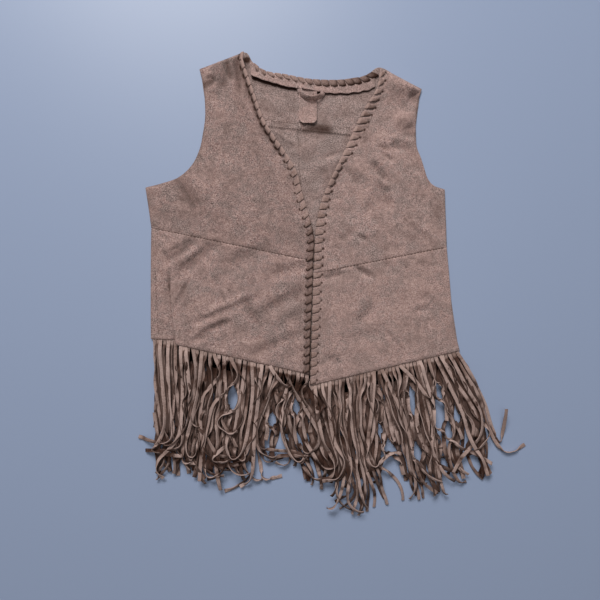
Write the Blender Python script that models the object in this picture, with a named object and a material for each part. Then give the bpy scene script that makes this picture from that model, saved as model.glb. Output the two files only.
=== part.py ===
"""Fringed suede vest lying flat on its back. Metres, +Z up, +Y towards the neck, +X to the wearer's left."""

from collections import namedtuple

import bmesh
import bpy
import numpy as np

for old in list(bpy.data.objects):
    bpy.data.objects.remove(old, do_unlink=True)

# ---- driving sizes, millimetres -------------------------------------------------
MM = 0.001
SUEDE = 1.4  # wall of a panel
THONG = 1.2  # wall of facing, tab, loop and lacing
SEAM = 0.3  # gap between pieces at a seam or from layer to layer
ON_BACK = SUEDE + SEAM  # lowest height of what lies on the back panels
LACE_WIDTH = 11.0  # from the laced edge to its row of holes
TUCK_RISE = 3.6  # step of the tuck in the wearer's right lower front
TUCK_RUN = 5.0  # width of that step
LOOP_WIDTH = 7.0
TAB_RADIUS = 8.0

# ---- section tables, millimetres ------------------------------------------------
# A front row runs from the side (or armhole) to the laced edge. The z columns are
# the height of the underside at the side, halfway and at the edge.
FrontRow = namedtuple("FrontRow", "side_x side_y edge_x edge_y side_z mid_z edge_z")

UPPER_RIGHT = [
    FrontRow(-299.5, 90.6, -32.4, 36.2, 1.7, 5.0, 3.6),
    FrontRow(-304.0, 122.0, -30.4, 72.0, 1.7, 5.2, 3.6),
    FrontRow(-310.0, 158.0, -37.5, 107.0, 1.7, 5.4, 3.6),
    FrontRow(-284.0, 165.0, -44.5, 130.0, 1.8, 5.4, 3.6),
    FrontRow(-256.0, 175.5, -52.0, 156.0, 2.0, 5.2, 3.6),
    FrontRow(-234.0, 196.0, -59.5, 185.0, 2.0, 5.0, 3.8),
    FrontRow(-221.0, 223.0, -77.0, 216.0, 2.0, 4.8, 4.0),
    FrontRow(-215.5, 250.0, -97.0, 243.0, 2.0, 4.6, 4.2),
    FrontRow(-212.0, 277.0, -114.0, 270.5, 2.0, 4.6, 4.4),
    FrontRow(-212.5, 303.0, -126.0, 303.0, 2.0, 4.8, 4.8),
    FrontRow(-215.0, 330.0, -138.5, 338.0, 1.9, 4.8, 5.0),
    FrontRow(-219.0, 348.0, -149.0, 371.0, 1.8, 4.4, 4.6),
    FrontRow(-222.0, 360.0, -146.6, 390.7, 1.7, 3.0, 3.0),
]
LOWER_RIGHT = [
    FrontRow(-298.0, -92.6, -38.4, -151.6, 2.0, 4.4, 4.4),
    FrontRow(-298.6, -60.0, -37.2, -110.0, 1.7, 4.6, 4.2),
    FrontRow(-299.0, -25.0, -36.2, -72.0, 1.7, 5.0, 3.8),
    FrontRow(-299.4, 12.0, -34.8, -36.0, 1.7, 5.0, 3.6),
    FrontRow(-299.6, 50.0, -33.2, 0.0, 1.7, 5.0, 3.6),
    FrontRow(-299.5, 90.2, -32.4, 35.8, 1.7, 5.0, 3.6),
]
UPPER_LEFT = [
    FrontRow(193.7, 60.6, -30.0, 15.2, 1.7, 4.8, 3.6),
    FrontRow(193.0, 95.0, -28.6, 50.0, 1.7, 5.2, 3.6),
    FrontRow(192.0, 130.0, -26.4, 85.0, 1.7, 5.4, 3.6),
    FrontRow(191.5, 158.4, -22.6, 110.0, 1.7, 5.4, 3.6),
    FrontRow(173.0, 165.0, -17.0, 134.0, 1.8, 5.4, 3.6),
    FrontRow(162.6, 177.0, -8.0, 157.0, 2.0, 5.2, 3.6),
    FrontRow(157.0, 194.0, 4.0, 183.0, 2.0, 5.0, 3.8),
    FrontRow(151.5, 212.0, 17.0, 210.0, 2.0, 5.0, 4.0),
    FrontRow(144.5, 231.0, 29.0, 236.0, 2.0, 5.0, 4.2),
    FrontRow(143.0, 255.0, 42.0, 265.0, 2.0, 5.0, 4.4),
    FrontRow(143.5, 280.0, 57.6, 295.5, 2.0, 5.0, 4.8),
    FrontRow(146.7, 308.0, 75.5, 324.0, 2.0, 5.0, 5.0),
    FrontRow(150.5, 320.0, 81.5, 348.0, 1.8, 4.4, 4.6),
    FrontRow(154.0, 330.6, 83.2, 368.0, 1.7, 3.0, 3.0),
]
LOWER_LEFT = [
    FrontRow(213.7, -113.2, -36.0, -169.7, 2.0, 4.4, 4.4),
    FrontRow(206.0, -80.0, -34.8, -130.0, 1.7, 4.8, 4.4),
    FrontRow(201.5, -45.0, -33.4, -92.0, 1.7, 4.8, 4.0),
    FrontRow(199.0, -10.0, -32.0, -55.0, 1.7, 4.8, 3.6),
    FrontRow(196.5, 25.0, -31.0, -20.0, 1.7, 4.8, 3.6),
    FrontRow(193.7, 60.2, -30.0, 14.8, 1.7, 4.8, 3.6),
]
# Where the tuck's step lies on each LOWER_RIGHT row, as a share from the side, and
# how much of TUCK_RISE it has there.
TuckRow = namedtuple("TuckRow", "share rise")
TUCK = [
    TuckRow(0.156, 1.0),
    TuckRow(0.139, 1.0),
    TuckRow(0.128, 0.9),
    TuckRow(0.112, 0.5),
    TuckRow(0.106, 0.1),
    TuckRow(0.102, 0.0),
]

# A back row runs from the side (or armhole) to the centre back.
BackRow = namedtuple("BackRow", "side_x side_y centre_x centre_y")
BACK_RIGHT = [
    BackRow(-297.0, -93.0, -44.2, -102.8),
    BackRow(-298.0, 0.0, -47.2, -6.0),
    BackRow(-298.4, 90.0, -50.2, 84.0),
    BackRow(-308.0, 156.0, -52.4, 146.0),
    BackRow(-282.5, 162.5, -53.0, 165.0),
    BackRow(-253.5, 174.0, -53.8, 188.0),
    BackRow(-231.8, 195.0, -54.6, 212.0),
    BackRow(-219.0, 222.5, -55.4, 235.0),
    BackRow(-213.0, 250.0, -56.0, 253.0),
    BackRow(-209.6, 285.6, -56.4, 270.6),
]
BACK_LEFT = [
    BackRow(212.4, -112.8, -43.9, -102.8),
    BackRow(198.0, -6.0, -46.9, -6.0),
    BackRow(192.6, 62.0, -49.4, 62.0),
    BackRow(190.4, 157.0, -52.1, 146.0),
    BackRow(171.5, 163.2, -52.7, 165.0),
    BackRow(160.8, 175.6, -53.5, 188.0),
    BackRow(155.0, 193.0, -54.3, 212.0),
    BackRow(149.5, 211.0, -55.1, 235.0),
    BackRow(142.4, 231.0, -55.7, 253.0),
    BackRow(141.2, 251.6, -56.1, 270.6),
]
# A yoke row runs from the yoke seam up to the shoulder or neck edge.
YokeRow = namedtuple("YokeRow", "seam_x seam_y top_x top_y")
YOKE = [
    YokeRow(-209.6, 286.0, -220.4, 359.4),
    YokeRow(-184.0, 283.6, -181.0, 375.0),
    YokeRow(-155.0, 280.8, -146.6, 390.7),
    YokeRow(-140.0, 279.3, -132.8, 373.6),
    YokeRow(-115.0, 276.8, -110.7, 358.3),
    YokeRow(-78.0, 273.2, -76.8, 352.7),
    YokeRow(-36.0, 269.2, -36.0, 345.5),
    YokeRow(10.0, 264.9, 10.0, 344.4),
    YokeRow(52.0, 260.8, 56.1, 351.9),
    YokeRow(75.0, 258.5, 82.4, 368.0),
    YokeRow(108.0, 255.3, 117.0, 350.0),
    YokeRow(141.2, 252.0, 152.4, 331.0),
]
# A facing row runs from the neck edge down to the facing's cut edge.
FacingRow = namedtuple("FacingRow", "top_x top_y cut_x cut_y")
FACING = [
    FacingRow(-138.4, 379.0, -135.5, 349.5),
    FacingRow(-131.0, 371.2, -125.0, 345.0),
    FacingRow(-110.6, 357.6, -98.8, 337.8),
    FacingRow(-76.8, 352.0, -73.4, 331.4),
    FacingRow(-36.0, 344.8, -36.0, 326.4),
    FacingRow(10.0, 343.7, 5.0, 320.9),
    FacingRow(40.0, 347.6, 35.0, 322.4),
    FacingRow(56.0, 351.2, 55.0, 326.0),
    FacingRow(74.0, 361.4, 74.2, 332.4),
]
# A fringe row runs from the hem down to the farthest tip below it.
FringeRow = namedtuple("FringeRow", "hem_x hem_y tip_x tip_y")
FRINGE_RIGHT = [
    FringeRow(-298.0, -93.2, -322.9, -272.0),
    FringeRow(-257.0, -102.5, -282.0, -326.0),
    FringeRow(-207.0, -113.8, -225.0, -332.0),
    FringeRow(-155.0, -125.6, -173.0, -351.0),
    FringeRow(-103.0, -137.5, -122.0, -300.0),
    FringeRow(-60.0, -147.2, -72.0, -315.0),
    FringeRow(-38.6, -152.1, -39.4, -338.0),
]
FRINGE_LEFT = [
    FringeRow(-36.0, -170.3, -38.6, -338.0),
    FringeRow(20.0, -157.6, 6.0, -374.0),
    FringeRow(69.0, -146.5, 45.0, -390.7),
    FringeRow(142.0, -130.0, 148.0, -359.0),
    FringeRow(180.0, -121.4, 216.0, -336.0),
    FringeRow(213.7, -113.8, 322.9, -268.0),
]
FRINGE_BACK = [
    FringeRow(-297.0, -93.4, -318.0, -262.0),
    FringeRow(-200.0, -97.2, -216.0, -324.0),
    FringeRow(-120.0, -100.3, -130.0, -286.0),
    FringeRow(-44.0, -103.3, -46.0, -328.0),
    FringeRow(60.0, -107.4, 50.0, -360.0),
    FringeRow(140.0, -110.5, 160.0, -344.0),
    FringeRow(212.4, -113.3, 288.0, -256.0),
]
# Height of a fringe along its strands: share from hem to tip, underside and top.
FringeStep = namedtuple("FringeStep", "share under top")
FRINGE_FRONT_Z = [
    FringeStep(0.0, 3.9, 6.0),
    FringeStep(0.3, 3.9, 9.0),
    FringeStep(0.7, 3.9, 12.0),
    FringeStep(1.0, 3.9, 8.0),
]
FRINGE_BACK_Z = [
    FringeStep(0.0, 0.0, 1.4),
    FringeStep(0.2, 0.0, 3.2),
    FringeStep(0.7, 0.0, 3.6),
    FringeStep(1.0, 0.0, 2.4),
]
# Hang loop's centreline.
LoopRow = namedtuple("LoopRow", "x y")
LOOP = [
    LoopRow(-54.4, 324.6),
    LoopRow(-52.4, 317.0),
    LoopRow(-47.0, 310.6),
    LoopRow(-38.6, 307.2),
    LoopRow(-29.4, 307.4),
    LoopRow(-21.4, 310.8),
    LoopRow(-16.4, 315.4),
    LoopRow(-13.6, 319.0),
]
TabBox = namedtuple("TabBox", "left right top_left top_right bottom")
TAB = TabBox(-54.7, -24.8, 328.6, 323.6, 269.5)


# ---- shape helpers --------------------------------------------------------------
def material(name, colour, rough):
    m = bpy.data.materials.new(name)
    m.use_nodes = True
    shader = m.node_tree.nodes["Principled BSDF"]
    shader.inputs["Base Color"].default_value = (*colour, 1.0)
    shader.inputs["Roughness"].default_value = rough
    shader.inputs["Metallic"].default_value = 0.0
    return m


def wall(name, under, top, colour, rough):
    """A closed wall between two grids of points, rows by columns."""
    under, top = np.asarray(under, float), np.asarray(top, float)
    rows, cols = under.shape[:2]
    mesh = bpy.data.meshes.new(name)
    bm = bmesh.new()
    low = [[bm.verts.new(under[i, j] * MM) for j in range(cols)] for i in range(rows)]
    high = [[bm.verts.new(top[i, j] * MM) for j in range(cols)] for i in range(rows)]

    def quad(a, b, c, d):
        bm.faces.new((a, b, c))
        bm.faces.new((a, c, d))

    for i in range(rows - 1):
        for j in range(cols - 1):
            quad(high[i][j], high[i][j + 1], high[i + 1][j + 1], high[i + 1][j])
            quad(low[i][j], low[i + 1][j], low[i + 1][j + 1], low[i][j + 1])
    rim = [(0, j) for j in range(cols)]
    rim += [(i, cols - 1) for i in range(1, rows)]
    rim += [(rows - 1, j) for j in range(cols - 2, -1, -1)]
    rim += [(i, 0) for i in range(rows - 2, 0, -1)]
    for (i, j), (k, m) in zip(rim, rim[1:] + rim[:1]):
        quad(low[i][j], low[k][m], high[k][m], high[i][j])
    bmesh.ops.recalc_face_normals(bm, faces=bm.faces[:])
    bm.to_mesh(mesh)
    bm.free()
    mesh.materials.append(material(name, colour, rough))
    ob = bpy.data.objects.new(name, mesh)
    bpy.context.scene.collection.objects.link(ob)
    return ob


def raised(grid, by):
    grid = np.array(grid, float)
    grid[..., 2] += by
    return grid


def front_point(row, share, tuck=None):
    """A point of a front's underside at a share of the way from side to edge."""
    x = row.side_x + (row.edge_x - row.side_x) * share
    y = row.side_y + (row.edge_y - row.side_y) * share
    a, b, c = row.side_z, row.mid_z, row.edge_z
    z = (
        a * (1 - share) * (1 - 2 * share)
        + 4 * b * share * (1 - share)
        + c * share * (2 * share - 1)
    )
    if tuck:
        length = abs(row.edge_x - row.side_x)
        past = (share - tuck.share) * length / TUCK_RUN
        fall = max(0.0, 1.0 - (share - tuck.share) / 0.5)
        z += TUCK_RISE * tuck.rise * min(1.0, max(0.0, past)) * fall**2
    return (x, y, z)


def lace_share(row):
    length = np.hypot(row.edge_x - row.side_x, row.edge_y - row.side_y)
    return 1.0 - LACE_WIDTH / length


def front_grid(rows, tucks=None):
    grid = []
    for k, row in enumerate(rows):
        tuck = tucks[k] if tucks else None
        shares = [0.0, 0.06, 0.25, 0.38, 0.52, 0.66, 0.8, lace_share(row), 1.0]
        if tuck:
            run = TUCK_RUN / abs(row.edge_x - row.side_x)
            shares[2:2] = [tuck.share, tuck.share + run]
        grid.append([front_point(row, s, tuck) for s in shares])
    return np.array(grid)


def across(rows, count, start, end, z):
    """A flat grid, each row spanned evenly from one named end to the other."""
    grid = []
    for row in rows:
        a = np.array([getattr(row, start + "_x"), getattr(row, start + "_y")])
        b = np.array([getattr(row, end + "_x"), getattr(row, end + "_y")])
        grid.append([(*(a + (b - a) * k / count), z) for k in range(count + 1)])
    return np.array(grid)


def fringe(name, rows, steps):
    under, top = [], []
    for row in rows:
        a, b = np.array([row.hem_x, row.hem_y]), np.array([row.tip_x, row.tip_y])
        under.append([(*(a + (b - a) * s.share), s.under) for s in steps])
        top.append([(*(a + (b - a) * s.share), s.top) for s in steps])
    wall(name, under, top, FRINGE_COLOUR, 0.92)


SUEDE_COLOUR = (0.36, 0.24, 0.18)
BACK_COLOUR = (0.34, 0.23, 0.175)
LACE_COLOUR = (0.33, 0.215, 0.165)
FRINGE_COLOUR = (0.30, 0.205, 0.16)

# ---- back -----------------------------------------------------------------------
for name, rows in (("back_right", BACK_RIGHT), ("back_left", BACK_LEFT)):
    flat = across(rows, 6, "side", "centre", 0.0)
    wall(name, flat, raised(flat, SUEDE), BACK_COLOUR, 0.9)
flat = across(YOKE, 4, "seam", "top", 0.0)
wall("back_yoke", flat, raised(flat, SUEDE), BACK_COLOUR, 0.9)

facing = across(FACING, 2, "top", "cut", ON_BACK)
wall("back_neck_facing", facing, raised(facing, THONG), SUEDE_COLOUR, 0.9)

# ---- fronts ---------------------------------------------------------------------
grids = {
    "front_upper_right": front_grid(UPPER_RIGHT),
    "front_lower_right": front_grid(LOWER_RIGHT, TUCK),
    "front_upper_left": front_grid(UPPER_LEFT),
    "front_lower_left": front_grid(LOWER_LEFT),
}
for name, grid in grids.items():
    wall(name, grid, raised(grid, SUEDE), SUEDE_COLOUR, 0.9)

# ---- lacing: the strip of each edge that the thong wraps ---------------------------
for side in ("right", "left"):
    lower, upper = grids["front_lower_" + side], grids["front_upper_" + side]
    edge = np.vstack([lower[:-1, -2:], upper[1:, -2:]])
    strip = raised(edge, SUEDE + SEAM)
    wall("lace_front_" + side, strip, raised(strip, THONG), LACE_COLOUR, 0.9)
strip = []
for row in FACING:
    a, b = np.array([row.top_x, row.top_y]), np.array([row.cut_x, row.cut_y])
    share = LACE_WIDTH / np.linalg.norm(b - a)
    strip.append([(*a, 0.0), (*(a + (b - a) * share), 0.0)])
strip = raised(strip, ON_BACK + THONG + SEAM)
wall("lace_back_neck", strip, raised(strip, THONG), LACE_COLOUR, 0.9)

# ---- tab and loop at the back neck ------------------------------------------------
rows = []
for k in range(6):
    angle = np.pi / 2 * k / 5
    inset = TAB_RADIUS * (1 - np.sin(angle))
    y = TAB.bottom + TAB_RADIUS * (1 - np.cos(angle))
    rows.append([(TAB.left + inset, y, ON_BACK), (TAB.right - inset, y, ON_BACK)])
rows.append([(TAB.left, TAB.top_left, ON_BACK), (TAB.right, TAB.top_right, ON_BACK)])
wall("neck_tab", rows, raised(rows, THONG), SUEDE_COLOUR, 0.9)

line = np.array([(p.x, p.y) for p in LOOP])
along = np.gradient(line, axis=0)
along /= np.linalg.norm(along, axis=1)[:, None]
out = np.stack([along[:, 1], -along[:, 0]], axis=1) * LOOP_WIDTH / 2
height = np.full((len(line), 1), ON_BACK + THONG + SEAM)
band = np.stack([np.hstack([line - out, height]), np.hstack([line + out, height])], 1)
wall("hang_loop", band, raised(band, THONG), SUEDE_COLOUR, 0.9)

# ---- fringe: a plain solid of its reach --------------------------------------------
fringe("fringe_front_right", FRINGE_RIGHT, FRINGE_FRONT_Z)
fringe("fringe_front_left", FRINGE_LEFT, FRINGE_FRONT_Z)
fringe("fringe_back", FRINGE_BACK, FRINGE_BACK_Z)
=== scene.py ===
"""Looks of the fringed suede vest. Lengths below are millimetres unless a name says otherwise."""

import math
from collections import namedtuple

import bmesh
import bpy
import numpy as np
from mathutils import Matrix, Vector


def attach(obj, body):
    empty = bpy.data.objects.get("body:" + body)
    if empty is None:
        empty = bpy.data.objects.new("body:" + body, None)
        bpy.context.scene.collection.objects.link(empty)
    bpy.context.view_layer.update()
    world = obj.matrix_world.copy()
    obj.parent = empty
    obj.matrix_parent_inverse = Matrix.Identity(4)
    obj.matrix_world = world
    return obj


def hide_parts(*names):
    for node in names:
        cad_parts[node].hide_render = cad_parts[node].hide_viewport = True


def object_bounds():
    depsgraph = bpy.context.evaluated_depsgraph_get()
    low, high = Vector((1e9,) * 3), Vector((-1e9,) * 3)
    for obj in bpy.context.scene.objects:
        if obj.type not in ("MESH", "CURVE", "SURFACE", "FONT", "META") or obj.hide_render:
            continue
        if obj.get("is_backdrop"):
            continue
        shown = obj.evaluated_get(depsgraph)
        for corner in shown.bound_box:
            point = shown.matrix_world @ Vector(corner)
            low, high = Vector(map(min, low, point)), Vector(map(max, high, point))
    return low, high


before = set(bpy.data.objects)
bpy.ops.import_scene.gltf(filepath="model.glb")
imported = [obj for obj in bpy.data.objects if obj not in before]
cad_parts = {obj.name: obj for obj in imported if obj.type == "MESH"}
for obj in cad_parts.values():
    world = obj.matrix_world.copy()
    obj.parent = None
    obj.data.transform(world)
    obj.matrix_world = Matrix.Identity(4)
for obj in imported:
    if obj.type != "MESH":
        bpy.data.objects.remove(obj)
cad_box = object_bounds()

MM = 0.001
rng = np.random.default_rng(11)

# ---- camera: the picture's frame is 600 by 600 pixels ------------------------------
FRAME_PX = 600.0
FOCAL_PX = 450.0
EYE = np.array([-71.83, -55.66, 750.23])
FLOOR_UP = np.array([0.02505352, -0.03592936, -0.99904024])  # right, down, forward
FLOOR_UP /= np.linalg.norm(FLOOR_UP)
FLOOR_X = np.array([1.0, 0.0, 0.0]) - FLOOR_UP[0] * FLOOR_UP
FLOOR_X /= np.linalg.norm(FLOOR_X)
FLOOR_Y = np.cross(FLOOR_UP, FLOOR_X)


def at(px, py, z=0.0):
    """The point at height z that a pixel of the picture shows, as x and y."""
    ray = np.array([(px - 300) / FOCAL_PX, (py - 300) / FOCAL_PX, 1.0])
    ray *= (EYE[2] - z) / -(ray @ FLOOR_UP)
    return np.array([ray @ FLOOR_X, ray @ FLOOR_Y]) + EYE[:2]


cam_data = bpy.data.cameras.new("camera")
cam_data.sensor_width = 36.0
cam_data.lens = 36.0 * FOCAL_PX / FRAME_PX
cam_data.clip_start = 0.01
cam = bpy.data.objects.new("camera", cam_data)
bpy.context.scene.collection.objects.link(cam)
basis = np.array([FLOOR_X, FLOOR_Y, FLOOR_UP]) * np.array([1, -1, -1])
place = Matrix([[*basis[i], EYE[i] * MM] for i in range(3)] + [[0, 0, 0, 1]])
cam.matrix_world = place
bpy.context.scene.camera = cam

# ---- sizes -------------------------------------------------------------------------
SUEDE = 1.4
THONG = 1.2
LACE_PITCH = 14.5
LOOP_WIDTH = 9.0
NECK_POINT = 9.0
STRAND_WIDTH = 5.9
STRIP_WIDTH = 4.8
LEFT_WIDTH = 5.2
LEFT_PITCH = 5.8
BACK_WIDTH = 7.0
STRAND_PITCH = 7.2
STRAND_WALL = 1.4
STRAND_LENGTH = 236.0

# ---- section tables: the solids' rows, apart from TUCK, which has columns of its own ----
FrontRow = namedtuple("FrontRow", "side_x side_y edge_x edge_y side_z mid_z edge_z")
UPPER_RIGHT = [
    FrontRow(-299.5, 90.6, -32.4, 36.2, 1.7, 5.0, 3.6),
    FrontRow(-304.0, 122.0, -30.4, 72.0, 1.7, 5.2, 3.6),
    FrontRow(-310.0, 158.0, -37.5, 107.0, 1.7, 5.4, 3.6),
    FrontRow(-284.0, 165.0, -44.5, 130.0, 1.8, 5.4, 3.6),
    FrontRow(-256.0, 175.5, -52.0, 156.0, 2.0, 5.2, 3.6),
    FrontRow(-234.0, 196.0, -59.5, 185.0, 2.0, 5.0, 3.8),
    FrontRow(-221.0, 223.0, -77.0, 216.0, 2.0, 4.8, 4.0),
    FrontRow(-215.5, 250.0, -97.0, 243.0, 2.0, 4.6, 4.2),
    FrontRow(-212.0, 277.0, -114.0, 270.5, 2.0, 4.6, 4.4),
    FrontRow(-212.5, 303.0, -126.0, 303.0, 2.0, 4.8, 4.8),
    FrontRow(-215.0, 330.0, -138.5, 338.0, 1.9, 4.8, 5.0),
    FrontRow(-219.0, 348.0, -149.0, 371.0, 1.8, 4.4, 4.6),
    FrontRow(-222.0, 360.0, -146.6, 390.7, 1.7, 3.0, 3.0),
]
LOWER_RIGHT = [
    FrontRow(-298.0, -92.6, -38.4, -151.6, 2.0, 4.4, 4.4),
    FrontRow(-298.6, -60.0, -37.2, -110.0, 1.7, 4.6, 4.2),
    FrontRow(-299.0, -25.0, -36.2, -72.0, 1.7, 5.0, 3.8),
    FrontRow(-299.4, 12.0, -34.8, -36.0, 1.7, 5.0, 3.6),
    FrontRow(-299.6, 50.0, -33.2, 0.0, 1.7, 5.0, 3.6),
    FrontRow(-299.5, 90.2, -32.4, 35.8, 1.7, 5.0, 3.6),
]
UPPER_LEFT = [
    FrontRow(193.7, 60.6, -30.0, 15.2, 1.7, 4.8, 3.6),
    FrontRow(193.0, 95.0, -28.6, 50.0, 1.7, 5.2, 3.6),
    FrontRow(192.0, 130.0, -26.4, 85.0, 1.7, 5.4, 3.6),
    FrontRow(191.5, 158.4, -22.6, 110.0, 1.7, 5.4, 3.6),
    FrontRow(173.0, 165.0, -17.0, 134.0, 1.8, 5.4, 3.6),
    FrontRow(162.6, 177.0, -8.0, 157.0, 2.0, 5.2, 3.6),
    FrontRow(157.0, 194.0, 4.0, 183.0, 2.0, 5.0, 3.8),
    FrontRow(151.5, 212.0, 17.0, 210.0, 2.0, 5.0, 4.0),
    FrontRow(144.5, 231.0, 29.0, 236.0, 2.0, 5.0, 4.2),
    FrontRow(143.0, 255.0, 42.0, 265.0, 2.0, 5.0, 4.4),
    FrontRow(143.5, 280.0, 57.6, 295.5, 2.0, 5.0, 4.8),
    FrontRow(146.7, 308.0, 75.5, 324.0, 2.0, 5.0, 5.0),
    FrontRow(150.5, 320.0, 81.5, 348.0, 1.8, 4.4, 4.6),
    FrontRow(154.0, 330.6, 83.2, 368.0, 1.7, 3.0, 3.0),
]
LOWER_LEFT = [
    FrontRow(213.7, -113.2, -36.0, -169.7, 2.0, 4.4, 4.4),
    FrontRow(206.0, -80.0, -34.8, -130.0, 1.7, 4.8, 4.4),
    FrontRow(201.5, -45.0, -33.4, -92.0, 1.7, 4.8, 4.0),
    FrontRow(199.0, -10.0, -32.0, -55.0, 1.7, 4.8, 3.6),
    FrontRow(196.5, 25.0, -31.0, -20.0, 1.7, 4.8, 3.6),
    FrontRow(193.7, 60.2, -30.0, 14.8, 1.7, 4.8, 3.6),
]
# The tuck on each LOWER_RIGHT row: distance from the side, overlap, height.
TuckRow = namedtuple("TuckRow", "place overlap height")
TUCK = [
    TuckRow(41.5, 9.0, 3.8),
    TuckRow(38.0, 9.0, 3.8),
    TuckRow(34.5, 7.5, 3.4),
    TuckRow(30.0, 0.5, 1.3),
    TuckRow(28.0, 0.0, 0.2),
    TuckRow(27.0, 0.0, 0.0),
]
BackRow = namedtuple("BackRow", "side_x side_y centre_x centre_y")
BACK_RIGHT = [
    BackRow(-297.0, -93.0, -44.2, -102.8),
    BackRow(-298.0, 0.0, -47.2, -6.0),
    BackRow(-298.4, 90.0, -50.2, 84.0),
    BackRow(-308.0, 156.0, -52.4, 146.0),
    BackRow(-282.5, 162.5, -53.0, 165.0),
    BackRow(-253.5, 174.0, -53.8, 188.0),
    BackRow(-231.8, 195.0, -54.6, 212.0),
    BackRow(-219.0, 222.5, -55.4, 235.0),
    BackRow(-213.0, 250.0, -56.0, 253.0),
    BackRow(-209.6, 285.6, -56.4, 270.6),
]
BACK_LEFT = [
    BackRow(212.4, -112.8, -43.9, -102.8),
    BackRow(198.0, -6.0, -46.9, -6.0),
    BackRow(192.6, 62.0, -49.4, 62.0),
    BackRow(190.4, 157.0, -52.1, 146.0),
    BackRow(171.5, 163.2, -52.7, 165.0),
    BackRow(160.8, 175.6, -53.5, 188.0),
    BackRow(155.0, 193.0, -54.3, 212.0),
    BackRow(149.5, 211.0, -55.1, 235.0),
    BackRow(142.4, 231.0, -55.7, 253.0),
    BackRow(141.2, 251.6, -56.1, 270.6),
]
YokeRow = namedtuple("YokeRow", "seam_x seam_y top_x top_y")
YOKE = [
    YokeRow(-209.6, 286.0, -220.4, 359.4),
    YokeRow(-184.0, 283.6, -181.0, 375.0),
    YokeRow(-155.0, 280.8, -146.6, 390.7),
    YokeRow(-140.0, 279.3, -132.8, 373.6),
    YokeRow(-115.0, 276.8, -110.7, 358.3),
    YokeRow(-78.0, 273.2, -76.8, 352.7),
    YokeRow(-36.0, 269.2, -36.0, 345.5),
    YokeRow(10.0, 264.9, 10.0, 344.4),
    YokeRow(52.0, 260.8, 56.1, 351.9),
    YokeRow(75.0, 258.5, 82.4, 368.0),
    YokeRow(108.0, 255.3, 117.0, 350.0),
    YokeRow(141.2, 252.0, 152.4, 331.0),
]
FacingRow = namedtuple("FacingRow", "top_x top_y cut_x cut_y")
FACING = [
    FacingRow(-138.4, 379.0, -135.5, 349.5),
    FacingRow(-131.0, 371.2, -125.0, 345.0),
    FacingRow(-110.6, 357.6, -98.8, 337.8),
    FacingRow(-76.8, 352.0, -73.4, 331.4),
    FacingRow(-36.0, 344.8, -36.0, 326.4),
    FacingRow(10.0, 343.7, 5.0, 320.9),
    FacingRow(40.0, 347.6, 35.0, 322.4),
    FacingRow(56.0, 351.2, 55.0, 326.0),
    FacingRow(74.0, 361.4, 74.2, 332.4),
]

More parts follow.
